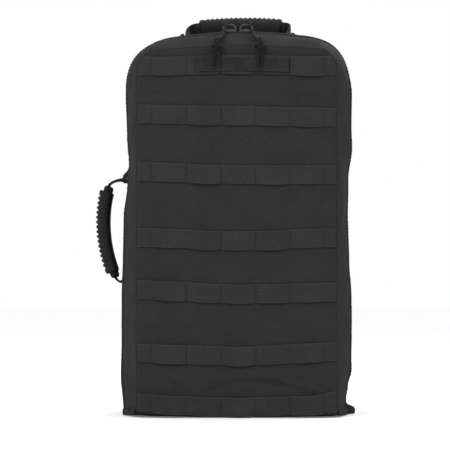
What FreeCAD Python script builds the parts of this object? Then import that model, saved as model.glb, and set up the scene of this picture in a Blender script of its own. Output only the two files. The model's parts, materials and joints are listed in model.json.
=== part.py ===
"""Trauma backpack: a black clamshell medical pack that stands on its base.

The rear shell (back panel, rear gusset, base panel) carries the harness, the handles and the kit pouches.
The front door (front panel, front gusset, seven rows of attachment webbing) is closed by a two-way zip that
runs up both sides and over the top, and it swings down about the front edge of the base.

Frame: millimetres, +Z up, the front faces -Y, +X to the right of someone who looks at the front.
The origin is the centre of the underside of the base panel.
"""

import FreeCAD, Part
import math
import os
import re

import Sketcher
from FreeCAD import Placement, Rotation, Vector

# ---------------------------------------------------------------- driving dimensions

DIMENSIONS = {
    # outline of the front panel, an arched rectangle
    "front_half": 136.0,
    "front_top": 508.0,
    "front_corner": 40.0,
    "front_arch": 1088.0,
    # outline of both gussets where the zip joins them
    "zip_half": 155.0,
    "zip_top": 533.0,
    "zip_corner": 76.0,
    "zip_arch": 713.0,
    # outline of the back panel
    "back_half": 148.0,
    "back_top": 524.0,
    "back_corner": 70.0,
    "back_arch": 713.0,
    # depth positions, counted from the origin
    "front_face": 100.0,
    "zip_plane": 30.0,
    "zip_band": 7.0,
    "back_inner": 92.0,
    "back_outer": 98.0,
    "gusset_deep": 115.0,
    # thicknesses of sewn and padded walls
    "panel_wall": 4.0,
    "gusset_wall": 3.0,
    "tape_wall": 1.2,
    "tape_inset": 0.8,
    "web_wall": 1.5,
    # heights where the walls start
    "base_wall": 5.5,
    "door_base": 7.0,
    "front_base": 2.5,
    # zip coil and sliders
    "coil_gap": 0.2,
    "coil_width": 2.8,
    "coil_proud": 0.8,
    "slider_at": 12.0,
    "slider_long": 14.0,
    "slider_wide": 11.0,
    "slider_plate": 1.8,
    "slider_lift": 2.1,
    "bow_half": 9.6,
    "bow_rise": 8.0,
    "bow_wire": 1.6,
    # attachment webbing
    "web_height": 25.4,
    "web_pitch": 47.0,
    "web_sag": 1.5,
    # name tape on the top row of webbing, a little to the right of the middle
    "tape_at": 5.0,
    "tape_half": 64.0,
    "tape_height": 21.5,
    "tape_thick": 1.4,
    # carrying handles, in their own frame: along, across and out from the pack
    "grip_arc": 190.0,
    "grip_height": 38.0,
    "grip_half": 58.0,
    "grip_wide": 30.0,
    "grip_thick": 19.0,
    "grip_round": 6.5,
    "rib_deep": 1.6,
    "strap_wide": 25.4,
    "strap_thick": 2.0,
    "foot_half": 67.0,
    "foot_bend": 7.0,
    "foot_axis": 6.5,
    "foot_round": 4.2,
    "anchor_long": 34.0,
    "anchor_thick": 2.0,
    "top_handle_lean": 66.0,
    "top_handle_at": 12.0,
    "side_handle_at": 32.0,
    "side_handle_height": 258.0,
    # harness
    "harness_half": 56.0,
    "harness_wide": 62.0,
    "harness_splay": 6.0,
    "yoke_half": 98.0,
    "yoke_low": 452.0,
    "yoke_high": 500.0,
    "yoke_wall": 3.0,
    "strap_top": 476.0,
    "back_pad_thick": 12.0,
    "wing_wall": 3.0,
    # small hardware
    "ring_half": 13.0,
    "ring_drop": 16.0,
    "ring_wire": 3.6,
    "ring_height": 388.0,
    "grommet_hole": 3.5,
    "grommet_barrel": 5.0,
    "grommet_at": 90.0,
    "ring_at": 58.0,
    "tab_round": 4.2,
    "sternum_at": 350.0,
    "sternum_drop": 50.0,
    "slide_depth": 134.8,
    "bar_depth": 142.0,
    "bar_round": 1.6,
    "cord_thick": 3.4,
    "knot_half": 6.6,
    "knot_round": 5.4,
    "knot_tall": 9.4,
}

# Heights of the lower edges of the seven rows of attachment webbing, from the top row down.
WEB_ROWS = (468.5, 401.0, 319.0, 228.0, 157.0, 72.5, 4.5)

doc = FreeCAD.newDocument("TraumaBackpack")
sheet = doc.addObject("Spreadsheet::Sheet", "Dims")
for row, (name, value) in enumerate(DIMENSIONS.items(), start=1):
    sheet.set(f"A{row}", name)
    sheet.set(f"B{row}", str(value))
    sheet.setAlias(f"B{row}", name)
doc.recompute()

SUBPARTS = []


def bound(text):
    """The expression with each dimension's name turned into its cell in the sheet."""
    return re.sub(r"[a-z_]{4,}", lambda m: "Dims." + m[0] if m[0] in DIMENSIONS else m[0], str(text))


def number(text):
    """What an expression comes to now."""
    return float(sheet.evalExpression(bound(text)))


# ---------------------------------------------------------------- sketches


class Profile:
    """A sketch on one of a body's origin planes. Its sizes are bound to the sheet."""

    def __init__(self, body, role, offset="0"):
        plane = next(f for f in body.Origin.OriginFeatures if f.Role == role)
        self.sketch = body.newObject("Sketcher::SketchObject", "Sketch")
        self.sketch.AttachmentSupport = [(plane, "")]
        self.sketch.MapMode = "FlatFace"
        self.sketch.setExpression(".AttachmentOffset.Base.z", bound(offset))

    def add(self, shape):
        return self.sketch.addGeometry(shape)

    def tie(self, kind, *refs):
        self.sketch.addConstraint(Sketcher.Constraint(kind, *refs))

    def size(self, kind, *refs):
        """A dimension: the last of refs is its expression."""
        *where, text = refs
        index = self.sketch.addConstraint(Sketcher.Constraint(kind, *where, number(text)))
        if "Dims." in bound(text):
            self.sketch.setExpression(f"Constraints[{index}]", bound(text))

    def pin(self, edge, point, across, up):
        """Fixes one end or centre of an edge at (across, up)."""
        self.size("DistanceX", -1, 1, edge, point, across)
        self.size("DistanceY", -1, 1, edge, point, up)

    def polygon(self, corners):
        points = [Vector(number(a), number(b), 0) for a, b in corners]
        edges = [self.add(Part.LineSegment(p, q)) for p, q in zip(points, points[1:] + points[:1])]
        for i, edge in enumerate(edges):
            self.tie("Coincident", edge, 2, edges[(i + 1) % len(edges)], 1)
            self.pin(edge, 1, *corners[i])
        return self

    def rectangle(self, left, right, low, high):
        return self.polygon([(left, low), (right, low), (right, high), (left, high)])

    def circle(self, across, up, radius):
        edge = self.add(Part.Circle(Vector(number(across), number(up), 0), Vector(0, 0, 1), number(radius)))
        self.pin(edge, 3, across, up)
        self.size("Radius", edge, radius)
        return self

    def arched(self, half, base, top, corner, arch):
        """A rectangle with a gently arched top and round top corners, symmetric about the vertical axis."""
        w, z0, z1 = number(half), number(base), number(top)
        r, big = number(corner), number(arch)
        middle = Vector(0, z1 - big, 0)
        corner_z = z1 - big + math.sqrt((big - r) ** 2 - (w - r) ** 2)
        side = Vector(w - r, corner_z, 0)
        joint = middle + (side - middle) * (big / (big - r))
        lean = math.atan2(joint.y - middle.y, joint.x)
        up = Vector(0, 0, 1)
        bottom = self.add(Part.LineSegment(Vector(-w, z0, 0), Vector(w, z0, 0)))
        right = self.add(Part.LineSegment(Vector(w, z0, 0), Vector(w, corner_z, 0)))
        first = self.add(Part.ArcOfCircle(Part.Circle(side, up, r), 0, lean))
        crown = self.add(Part.ArcOfCircle(Part.Circle(middle, up, big), lean, math.pi - lean))
        other = Vector(-side.x, side.y, 0)
        second = self.add(Part.ArcOfCircle(Part.Circle(other, up, r), math.pi - lean, math.pi))
        left = self.add(Part.LineSegment(Vector(-w, corner_z, 0), Vector(-w, z0, 0)))
        for a, end_a, b, end_b in (
            (right, 2, first, 1),
            (first, 2, crown, 1),
            (crown, 2, second, 1),
            (second, 2, left, 1),
        ):
            self.tie("Tangent", a, end_a, b, end_b)
        self.tie("Coincident", bottom, 2, right, 1)
        self.tie("Coincident", left, 2, bottom, 1)
        self.tie("Symmetric", bottom, 1, bottom, 2, -2)
        self.tie("Vertical", right)
        self.tie("Vertical", left)
        self.tie("PointOnObject", crown, 3, -2)
        self.tie("Equal", first, second)
        self.size("DistanceX", -1, 1, bottom, 2, half)
        self.size("DistanceY", -1, 1, bottom, 2, base)
        self.size("DistanceY", crown, 3, -1, 1, f"{arch} - ({top})")
        self.size("Radius", crown, arch)
        self.size("Radius", first, corner)
        return self

    def loops(self, columns, face, wall, sag):
        """The section of webbing that is tacked down at the columns and stands proud between them."""
        outer = [(c, f"-({face}) - ({wall})") for c in columns]
        inner = [(c, f"-({face})") for c in reversed(columns)]
        runs = [(a, b, True) for a, b in zip(outer, outer[1:])] + [(outer[-1], inner[0], False)]
        runs += [(a, b, True) for a, b in zip(inner, inner[1:])] + [(inner[-1], outer[0], False)]
        edges = []
        for start, end, curved in runs:
            p = Vector(number(start[0]), number(start[1]), 0)
            q = Vector(number(end[0]), number(end[1]), 0)
            if curved:
                edges.append(self.add(Part.Arc(p, (p + q) * 0.5 - Vector(0, number(sag), 0), q)))
            else:
                edges.append(self.add(Part.LineSegment(p, q)))
        for i, (start, end, curved) in enumerate(runs):
            after = edges[(i + 1) % len(edges)]
            # An arc's own ends run anticlockwise, so its first end may be where the run stops.
            first, last = self._ends(edges[i], start)
            self.tie("Coincident", edges[i], last, after, self._ends(after, end)[0])
            self.pin(edges[i], first, *start)
            if curved:
                chord = f"(({end[0]}) - ({start[0]}))"
                self.size("Radius", edges[i], f"({chord} * {chord} / 4 + ({sag}) * ({sag})) / (2 * ({sag}))")
        return self

    def _ends(self, edge, start):
        """(the end of this edge that lies at start, its other end)."""
        at = self.sketch.getPoint(edge, 1)
        near = abs(at.x - number(start[0])) + abs(at.y - number(start[1])) < 1e-6
        return (1, 2) if near else (2, 1)

    def stadium(self, across, up, straight, radius):
        """A slot shape: two half circles, 2 * straight apart, about (across, up)."""
        x, y = number(across), number(up)
        s, r = number(straight), number(radius)
        axis = Vector(0, 0, 1)
        quarter = math.pi / 2
        right = self.add(Part.ArcOfCircle(Part.Circle(Vector(x + s, y, 0), axis, r), -quarter, quarter))
        top = self.add(Part.LineSegment(Vector(x + s, y + r, 0), Vector(x - s, y + r, 0)))
        left = self.add(Part.ArcOfCircle(Part.Circle(Vector(x - s, y, 0), axis, r), quarter, 3 * quarter))
        low = self.add(Part.LineSegment(Vector(x - s, y - r, 0), Vector(x + s, y - r, 0)))
        for a, b in ((right, top), (top, left), (left, low), (low, right)):
            self.tie("Tangent", a, 2, b, 1)
        self.pin(right, 3, f"{across} + {straight}", up)
        self.pin(left, 3, f"{across} - ({straight})", up)
        self.size("Radius", right, radius)
        return self

    def bell(self, half, top, straight):
        """A loop's outline: flat on top, straight sides of that length, and a half circle below."""
        w, z1, z0 = number(half), number(top), number(f"{top} - ({straight})")
        above = self.add(Part.LineSegment(Vector(-w, z1, 0), Vector(w, z1, 0)))
        right = self.add(Part.LineSegment(Vector(w, z1, 0), Vector(w, z0, 0)))
        circle = Part.Circle(Vector(0, z0, 0), Vector(0, 0, 1), w)
        below = self.add(Part.ArcOfCircle(circle, math.pi, 2 * math.pi))
        left = self.add(Part.LineSegment(Vector(-w, z0, 0), Vector(-w, z1, 0)))
        self.tie("Coincident", above, 2, right, 1)
        self.tie("Coincident", left, 2, above, 1)
        self.tie("Tangent", right, 2, below, 2)
        self.tie("Tangent", left, 1, below, 1)
        self.pin(above, 1, f"-({half})", top)
        self.pin(below, 3, "0", f"{top} - ({straight})")
        self.size("Radius", below, half)
        return self


# ---------------------------------------------------------------- features and bodies


def body_named(label, alone=True):
    """A new body. One that isn't alone is a piece of a group, which is a sub-part itself."""
    body = doc.addObject("PartDesign::Body", label)
    body.Label = label
    body.AllowCompound = True
    if alone:
        SUBPARTS.append(body)
    return body


def group_named(label, pieces):
    """Several separate solids that share one sub-part."""
    group = doc.addObject("Part::Compound", label)
    group.Label = label
    group.Links = pieces
    SUBPARTS.append(group)
    return group


def pad(body, profile, length, reverse=False, both=False):
    feature = body.newObject("PartDesign::Pad", "Pad")
    feature.Profile = profile.sketch
    feature.Reversed = reverse
    if both:
        feature.SideType = "Symmetric"
    feature.setExpression("Length", bound(length))
    return feature


def pocket(body, profile, length, reverse=False, both=False):
    """Cuts the profile out of the body, and stops if nothing was cut."""
    doc.recompute()
    before = body.Shape.Volume
    feature = body.newObject("PartDesign::Pocket", "Pocket")
    feature.Profile = profile.sketch
    feature.Reversed = reverse
    if both:
        feature.SideType = "Symmetric"
    feature.setExpression("Length", bound(length))
    doc.recompute()
    if body.Shape.Volume > before - 0.01:
        raise RuntimeError(f"{body.Label}: a pocket cut nothing")
    return feature


def loft(body, kind, first, last):
    feature = body.newObject("PartDesign::" + kind, kind)
    feature.Profile = first.sketch
    feature.Sections = [last.sketch]
    feature.Ruled = True
    return feature


def runs_along(edge):
    """The direction of an edge at its start, without its sign."""
    along = edge.tangentAt(edge.FirstParameter)
    return Vector(abs(along.x), abs(along.y), abs(along.z))


def soften(body, feature, radius, keep):
    """Rounds those edges of a feature that keep() picks."""
    doc.recompute()
    names = [f"Edge{i}" for i, edge in enumerate(feature.Shape.Edges, start=1) if keep(edge)]
    fillet = body.newObject("PartDesign::Fillet", "Fillet")
    fillet.Base = (feature, names)
    fillet.setExpression("Radius", bound(radius))
    return fillet


def mirror(body, features, role="YZ_Plane"):
    """Mirrors the features about one of the body's origin planes."""
    copy = body.newObject("PartDesign::Mirrored", "Mirrored")
    copy.Originals = features
    copy.MirrorPlane = (next(f for f in body.Origin.OriginFeatures if f.Role == role), [""])
    body.Tip = copy
    return copy


def place(body, across="0", depth="0", height="0", turn=None):
    """Places a body. turn is a Rotation, applied before the move."""
    if turn is not None:
        body.Placement = Placement(Vector(0, 0, 0), turn)
    for axis, text in zip("xyz", (across, depth, height)):
        body.setExpression(f".Placement.Base.{axis}", bound(text))
    return body


FRONT = ("front_half", "front_top", "front_corner", "front_arch")
ZIP = ("zip_half", "zip_top", "zip_corner", "zip_arch")
BACK = ("back_half", "back_top", "back_corner", "back_arch")


def outline(body, sizes, depth, base, inset="0"):
    """An arched outline, drawn in by inset, in the upright plane at that depth."""
    half, top, corner, arch = (f"{size} - ({inset})" for size in sizes)
    return Profile(body, "XZ_Plane", f"-({depth})").arched(half, base, top, corner, arch)


# ---------------------------------------------------------------- shells


def arched_plate(label, sizes, back_depth, wall, base, inset="0"):
    """A flat panel, whose rear face lies at back_depth."""
    body = body_named(label)
    return body, pad(body, outline(body, sizes, back_depth, base, inset), wall)


def gusset(label, near, near_depth, far, far_depth, base):
    """The side wall of a shell half: an arch of padded cloth, open at the bottom."""
    body = body_named(label)
    first = outline(body, near, near_depth, base)
    last = outline(body, far, far_depth, base)
    loft(body, "AdditiveLoft", first, last)
    open_base = f"{base} - 5"
    first = outline(body, near, near_depth, open_base, "gusset_wall")
    last = outline(body, far, far_depth, open_base, "gusset_wall")
    loft(body, "SubtractiveLoft", first, last)
    return body


def zip_band(label, back_depth, width, outer, inner, base):
    """An arch of constant section that follows the zip's outline."""
    body = body_named(label)
    pad(body, outline(body, ZIP, back_depth, base, outer), width)
    pocket(body, outline(body, ZIP, f"{back_depth} + 1", f"{base} - 5", inner), f"{width} + 2", reverse=True)
    return body


def make_shells():
    base = body_named("base_panel")
    half_footprint = [
        ("front_half - 1", "8 - front_face"),
        ("zip_half - 1", "-zip_plane - zip_band"),
        ("zip_half - 1", "zip_band - zip_plane"),
        ("back_half", "back_inner"),
    ]
    other_half = [(f"-({x})", y) for x, y in reversed(half_footprint)]
    pad(base, Profile(base, "XY_Plane").polygon(half_footprint + other_half), "base_wall")
    for side in (-1, 1):
        hole = Profile(base, "XY_Plane").circle(f"{side} * grommet_at", "zip_plane", "grommet_barrel")
        pocket(base, hole, "base_wall", reverse=True)

    gusset("rear_gusset", ZIP, "zip_band - zip_plane", BACK, "back_inner", "base_wall")
    gusset("front_gusset", FRONT, "panel_wall - front_face", ZIP, "-zip_plane - zip_band", "door_base")
    arched_plate("back_panel", BACK, "back_outer", "back_outer - back_inner", "1")
    arched_plate("front_panel", FRONT, "panel_wall - front_face", "panel_wall", "front_base")

    tape_inner = "tape_inset + tape_wall"
    tape = "zip_band - 1"
    zip_band("zip_tape_front", "-zip_plane - 1", tape, "tape_inset", tape_inner, "door_base")
    zip_band("zip_tape_rear", "zip_band - zip_plane", tape, "tape_inset", tape_inner, "base_wall")
    ends = {"front": "-zip_plane - coil_gap", "rear": "coil_gap + coil_width - zip_plane"}
    zip_band("zip_coil_front", ends["front"], "coil_width", "-coil_proud", "tape_inset", "door_base")
    zip_band("zip_coil_rear", ends["rear"], "coil_width", "-coil_proud", "tape_inset", "base_wall")


def make_grommets():
    """Two drain grommets, each a barrel through the base panel with a flange inside the pack."""
    body = body_named("drain_grommets")
    for side in (-1, 1):
        at = f"{side} * grommet_at"
        pad(body, Profile(body, "XY_Plane").circle(at, "zip_plane", "grommet_barrel"), "base_wall")
        pad(body, Profile(body, "XY_Plane", "base_wall").circle(at, "zip_plane", "grommet_barrel + 3"), "0.8")
    for side in (-1, 1):
        bore = Profile(body, "XY_Plane", "-1").circle(f"{side} * grommet_at", "zip_plane", "grommet_hole")
        pocket(body, bore, "base_wall + 4", reverse=True)


# ---------------------------------------------------------------- front door fittings


def web_columns():
    """Where the webbing is tacked to the front panel, from left to right."""
    inner = ["-2.5 * web_pitch", "-1.5 * web_pitch", "-0.5 * web_pitch"]
    inner += ["0.5 * web_pitch", "1.5 * web_pitch", "2.5 * web_pitch"]
    return ["1 - front_half", *inner, "front_half - 1"]


def make_webbing():
    for i, low in enumerate(WEB_ROWS, start=1):
        body = body_named(f"webbing_row_{i}")
        profile = Profile(body, "XY_Plane", str(low))
        profile.loops(web_columns(), "front_face", "web_wall", "web_sag")
        pad(body, profile, "web_height")
        if i == 1:
            # The top row's upper corners follow the panel's round corners.
            outside = outline(body, FRONT, "0", "front_base", "1")
            outside.rectangle("-200", "200", "-50", "600")
            pocket(body, outside, "250", both=True)


def make_name_tape():
    """A blank tape with hook backing, pressed on the top row of webbing."""
    body = body_named("name_tape")
    low = f"{WEB_ROWS[0]} + (web_height - tape_height) / 2"
    face = "front_face + web_wall + web_sag + 0.1"
    profile = Profile(body, "XZ_Plane", face)
    profile.rectangle("tape_at - tape_half", "tape_at + tape_half", low, f"{low} + tape_height")
    pad(body, profile, "tape_thick")


def make_mesh_pockets():
    """Two flat pockets on the inside of the door."""
    for label, low, high in (("mesh_pocket_upper", 268, 452), ("mesh_pocket_lower", 48, 236)):
        body = body_named(label)
        profile = Profile(body, "XZ_Plane", "front_face - panel_wall - 5")
        profile.rectangle("25 - front_half", "front_half - 25", str(low), str(high))
        soften(body, pad(body, profile, "5"), "4", lambda edge: runs_along(edge).y > 0.9)


# ---------------------------------------------------------------- zip sliders


def arch_height(across):
    """Height of the zip's arched outline at a distance across from the middle."""
    return f"zip_top - zip_arch + sqrt(zip_arch * zip_arch - ({across}) * ({across}))"


def mirrored(corners):
    """The same corners on the other side of the vertical axis, in the order that closes the outline."""
    return [(f"-({a})", b) for a, b in reversed(corners)]


def make_slider(label, side):
    """A slider: its top plate, the flange that holds the front coil, and the wire bow over it."""
    body = body_named(label)
    half, nose = "slider_long / 2", "slider_wide / 2"
    plate = Profile(body, "XY_Plane", "slider_lift").polygon(
        [
            (f"-{half}", f"-{nose} * 0.6"),
            (f"-{half} * 0.4", f"-{nose}"),
            (half, f"-{nose}"),
            (half, nose),
            (f"-{half} * 0.4", nose),
            (f"-{half}", f"{nose} * 0.6"),
        ]
    )
    pad(body, plate, "slider_plate")
    flange = Profile(body, "XY_Plane", "0.3 - tape_inset")
    flange.rectangle(f"-{half} * 0.4", half, f"-{nose}", f"1.4 - {nose}")
    pad(body, flange, "slider_lift + slider_plate / 2 - 0.3 + tape_inset")
    foot, top = "slider_lift + slider_plate / 2", "slider_lift + slider_plate + bow_rise"
    shoulder = f"{top} - bow_half * 0.45"
    outer = [("bow_half", foot), ("bow_half", shoulder), ("bow_half * 0.55", top)]
    inner = [
        ("bow_half * 0.5", f"{top} - bow_wire"),
        ("bow_half - bow_wire", f"{shoulder} - bow_wire / 2"),
        ("bow_half - bow_wire", foot),
    ]
    corners = outer + mirrored(outer) + mirrored(inner) + inner
    bow = Profile(body, "XZ_Plane").polygon(corners)
    pad(body, bow, "2 * bow_wire", both=True)
    # The bow's feet stand on a bar that is as long as the bow.
    bar = Profile(body, "XY_Plane", "slider_lift").rectangle("-bow_half", "bow_half", "-bow_wire", "bow_wire")
    pad(body, bar, "slider_plate")
    place(body, f"{side} * slider_at", "-zip_plane", arch_height("slider_at"))


# ---------------------------------------------------------------- cords


def tube(points, thick):
    """A round cord along straight runs that tangent arcs join. Prints the tightest arc."""
    points = [Vector(*p) for p in points]
    edges, at, radii = [], points[0], []
    for before, here, after in zip(points, points[1:], points[2:]):
        run_in, run_out = here - before, after - here
        turn = run_in.getAngle(run_out)
        cut = 0.45 * min(run_in.Length, run_out.Length)
        radii.append(cut / math.tan(turn / 2))
        start = here - run_in.normalize() * cut
        end = here + run_out.normalize() * cut
        inward = (run_out - run_in).normalize()
        centre = here + inward * (radii[-1] / math.cos(turn / 2))
        middle = centre - inward * radii[-1]
        edges.append(Part.LineSegment(at, start).toShape())
        edges.append(Part.Arc(start, middle, end).toShape())
        at = end
    edges.append(Part.LineSegment(at, points[-1]).toShape())
    path = Part.Wire(edges)
    along = points[1] - points[0]
    ring = Part.Wire(Part.Circle(points[0], along, thick / 2).toShape())
    solid = path.makePipeShell([ring], True, False)
    share = solid.Volume / (math.pi * thick * thick / 4 * path.Length)
    print(f"cord: {path.Length:.1f} mm long, tightest arc {min(radii):.1f} mm, volume share {share:.3f}")
    return solid


# A pull cord's route for the right-hand slider: from the end of the outer tail up through the knot, back over
# the front edge, round the slider's bow, and home again beside itself to the end of the inner tail.
PULL_ROUTE = (
    (31.0, -107.4, 474.5),
    (32.2, -107.8, 484.5),
    (31.6, -107.3, 496.5),
    (31.9, -107.2, 512.0),
    (30.6, -101.6, 517.0),
    (27.6, -88.5, 518.0),
    (23.9, -66.5, 526.0),
    (19.6, -47.0, 536.0),
    (16.4, -34.0, 540.6),
    (15.2, -25.4, 540.2),
    (15.6, -25.4, 548.1),
    (16.0, -34.0, 548.0),
    (16.8, -45.5, 541.5),
    (19.9, -64.0, 529.0),
    (23.4, -86.5, 519.6),
    (26.0, -101.4, 517.2),
    (27.4, -107.2, 512.2),
    (27.6, -107.3, 496.5),
    (27.0, -107.9, 484.0),
    (28.2, -107.4, 472.5),
)
# The left-hand cord lies the other way round, and its two tails spread apart.
LEFT_TAILS = {
    0: (-33.4, -107.4, 475.0),
    1: (-33.6, -107.8, 484.5),
    18: (-25.6, -107.9, 485.5),
    19: (-24.4, -107.4, 477.0),
}
KNOT_CENTRE = (29.7, -107.2, 504.2)


def make_pull(side, name):
    """A cord looped through the slider's bow, and the knot that holds its two strands together."""
    route = [(side * x, y, z) for x, y, z in PULL_ROUTE]
    if side < 0:
        route = [LEFT_TAILS.get(i, point) for i, point in enumerate(route)]
    cord = doc.addObject("Part::Feature", f"pull_cord_{name}")
    cord.Label = f"pull_cord_{name}"
    cord.Shape = tube(route, DIMENSIONS["cord_thick"])
    SUBPARTS.append(cord)

    knot = body_named(f"pull_knot_{name}")
    wraps = Profile(knot, "XY_Plane").stadium("0", "0", "knot_half - knot_round", "knot_round")
    barrel = pad(knot, wraps, "knot_tall", both=True)
    soften(knot, barrel, "knot_round / 2.5", lambda edge: runs_along(edge).z < 0.1)
    for strand in (-1, 1):
        bore = Profile(knot, "XY_Plane").circle(f"{strand} * 2.05", "0", "cord_thick / 2 + 0.15")
        pocket(knot, bore, "knot_tall + 2", both=True)
    across, depth, height = KNOT_CENTRE
    place(knot, str(side * across), str(depth), str(height))


# ---------------------------------------------------------------- carrying handles


def arc_section(body, low, high, half):
    """A rectangle across the handle, drawn so that the sketch's own axis is the axis of the grip's arc."""
    profile = Profile(body, "YZ_Plane")
    profile.sketch.setExpression(".AttachmentOffset.Base.y", bound("grip_height - grip_arc"))
    return profile.rectangle(f"-({half})", half, f"grip_arc + {low}", f"grip_arc + {high}")


def swept(body, kind, profile, angle):
    """Turns a profile about its sketch's horizontal axis, evenly to both sides."""
    feature = body.newObject("PartDesign::" + kind, kind)
    feature.Profile = profile.sketch
    feature.ReferenceAxis = (profile.sketch, ["H_Axis"])
    feature.Midplane = True
    feature.setExpression("Angle", bound(angle))
    return feature


GRIP_ANGLE = "2 * asin(grip_half / grip_arc)"
GRIP_END = "grip_height - grip_arc + sqrt(grip_arc * grip_arc - grip_half * grip_half)"


def make_handle(name, across, depth, height, turn):
    """A webbing strap with a ribbed rubber grip moulded round its middle, arched out from the pack.

    Its own frame: X along the strap, Y across it, Z out from the pack. Each end of the strap is folded to
    a round foot, which turns in the anchor beside it.
    """
    strap = body_named(f"{name}_strap")
    half_thick = "strap_thick / 2"
    swept(strap, "Revolution", arc_section(strap, f"-{half_thick}", half_thick, "strap_wide / 2"), GRIP_ANGLE)
    first = Profile(strap, "YZ_Plane", "grip_half - 0.4")
    first.rectangle("-strap_wide / 2", "strap_wide / 2", f"{GRIP_END} - 0.9", f"{GRIP_END} + 1.1")
    last = Profile(strap, "YZ_Plane", "foot_half")
    folded = "0.65 * foot_round"
    last.rectangle(f"-{folded}", folded, f"foot_axis - {folded}", f"foot_axis + {folded}")
    fold = loft(strap, "AdditiveLoft", first, last)
    barrel = Profile(strap, "YZ_Plane", "foot_half").circle("0", "foot_axis", "foot_round")
    foot = pad(strap, barrel, "foot_bend")
    doc.recompute()
    mirror(strap, [fold, foot])
    place(strap, across, depth, height, turn)

    grip = body_named(f"{name}_grip")
    half_thick = "grip_thick / 2"
    section = arc_section(grip, f"-{half_thick}", half_thick, "grip_wide / 2")
    core = swept(grip, "Revolution", section, GRIP_ANGLE)
    soften(grip, core, "grip_round", lambda edge: edge.Length > 2 * DIMENSIONS["grip_half"] - 20)
    slot_half = "strap_thick / 2 + 0.15"
    slot = arc_section(grip, f"-({slot_half})", slot_half, "strap_wide / 2 + 0.2")
    swept(grip, "Groove", slot, f"{GRIP_ANGLE} + 4 deg")
    valley = arc_section(grip, "grip_thick / 2 - rib_deep", "grip_thick", "grip_wide / 2 + 1")
    groove = swept(grip, "Groove", valley, "0.8")
    for reverse in (False, True):
        doc.recompute()
        ribs = grip.newObject("PartDesign::PolarPattern", "Ribs")
        ribs.Originals = [groove]
        ribs.Axis = (valley.sketch, ["H_Axis"])
        ribs.Reversed = reverse
        ribs.setExpression("Angle", bound("0.86 * asin(grip_half / grip_arc)"))
        ribs.Occurrences = 8
        grip.Tip = ribs
    place(grip, across, depth, height, turn)


def make_anchors(name, spots):
    """The sewn patches that hold a handle's feet. spots: (across, depth, height, turn) of each one."""
    pieces = []
    for across, depth, height, turn in spots:
        patch = body_named(f"{name}_patch", alone=False)
        sole = Profile(patch, "XY_Plane").rectangle("0", "anchor_long", "-strap_wide / 2", "strap_wide / 2")
        pad(patch, sole, "anchor_thick")
        top = "foot_axis + foot_round - 0.4"
        ramp = [("0", "anchor_thick / 2"), ("0", top), ("foot_round", top)]
        ramp.append(("anchor_long / 2", "anchor_thick / 2"))
        pad(patch, Profile(patch, "XZ_Plane").polygon(ramp), "2 * foot_round", both=True)
        place(patch, across, depth, height, turn)
        pieces.append(patch)
    group_named(f"{name}_anchors", pieces)


def side_wall(depth):
    """How far out the rear gusset's side stands at a depth."""
    return f"(zip_half + (back_half - zip_half) * ({depth} + zip_plane - zip_band) / gusset_deep)"


def top_wall(depth):
    """How high the rear gusset's top stands at a depth, in the middle."""
    return f"(zip_top + (back_top - zip_top) * ({depth} + zip_plane - zip_band) / gusset_deep)"


def make_handles():
    along = "foot_half + foot_bend + 0.3"
    drop = "(foot_half + foot_bend) * (foot_half + foot_bend) / (2 * zip_arch)"
    surface = f"{top_wall('top_handle_at')} - {drop}"
    # The top handle leans back about the line through its two feet.
    leaning = Rotation(Vector(1, 0, 0), -number("top_handle_lean"))
    depth = "top_handle_at - foot_axis * sin(top_handle_lean)"
    make_handle("top_handle", "0", depth, f"{surface} + foot_axis * (1 - cos(top_handle_lean))", leaning)
    # Its patches follow the arch of the pack's top and its fall towards the back.
    fall = Rotation(Vector(1, 0, 0), math.degrees(math.atan(number("(back_top - zip_top) / gusset_deep"))))
    bend = number("(foot_half + foot_bend + anchor_long / 2) / zip_arch")
    arch = Rotation(Vector(0, 1, 0), math.degrees(bend))
    about = Rotation(Vector(0, 0, 1), 180)
    spots = [(along, "top_handle_at", f"{surface} + 0.3", fall * arch)]
    spots.append((f"-({along})", "top_handle_at", f"{surface} + 0.3", fall * about * arch))
    make_anchors("top_handle", spots)

    lean = math.atan(number("(zip_half - back_half) / gusset_deep"))
    outward = Vector(-math.cos(lean), math.sin(lean), 0)
    turn = Rotation(Vector(0, 0, 1), Vector(math.sin(lean), math.cos(lean), 0), outward, "ZXY")
    across = f"-{side_wall('side_handle_at')} - 0.3"
    make_handle("side_handle", across, "side_handle_at", "side_handle_height", turn)
    spots = [(across, "side_handle_at", f"side_handle_height + {along}", turn)]
    spots.append((across, "side_handle_at", f"side_handle_height - ({along})", turn * about))
    make_anchors("side_handle", spots)


# ---------------------------------------------------------------- harness


def slab(label, role, depth, corners, thick, alone=True):
    """A flat piece of the outline given, thick towards its plane's normal."""
    body = body_named(label, alone)
    pad(body, Profile(body, role, depth).polygon(corners), thick)
    return body


def block(label, left, right, near, far, low, high, alone=True):
    """A flat rectangular piece that faces the front and the back of the pack."""
    corners = [(left, low), (right, low), (right, high), (left, high)]
    return slab(label, "XZ_Plane", f"-({far})", corners, f"{far} - ({near})", alone)


def make_back():
    face, pads = "back_outer + back_pad_thick", []
    for side, edges in (("left", ("-110", "-20")), ("right", ("20", "110"))):
        pads.append(block(f"back_pad_{side}", *edges, "back_outer", face, "150", "436", alone=False))
    group_named("back_pads", pads)
    block("lumbar_pad", "-94", "94", "back_outer", face, "30", "130")
    yoke_face = "back_outer + yoke_wall"
    block("strap_yoke", "-yoke_half", "yoke_half", "back_outer", yoke_face, "yoke_low", "yoke_high")
    # The wings that the lower webbing starts from, at the bottom corners.
    wing = [("130", "3"), ("158", "3"), ("158", "24"), ("148", "46"), ("130", "60")]
    for side, name in ((1, "right"), (-1, "left")):
        corners = [(f"{side} * {a}", b) for a, b in wing]
        slab(f"strap_wing_{name}", "XZ_Plane", "-back_outer - wing_wall", corners, "wing_wall")


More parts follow.
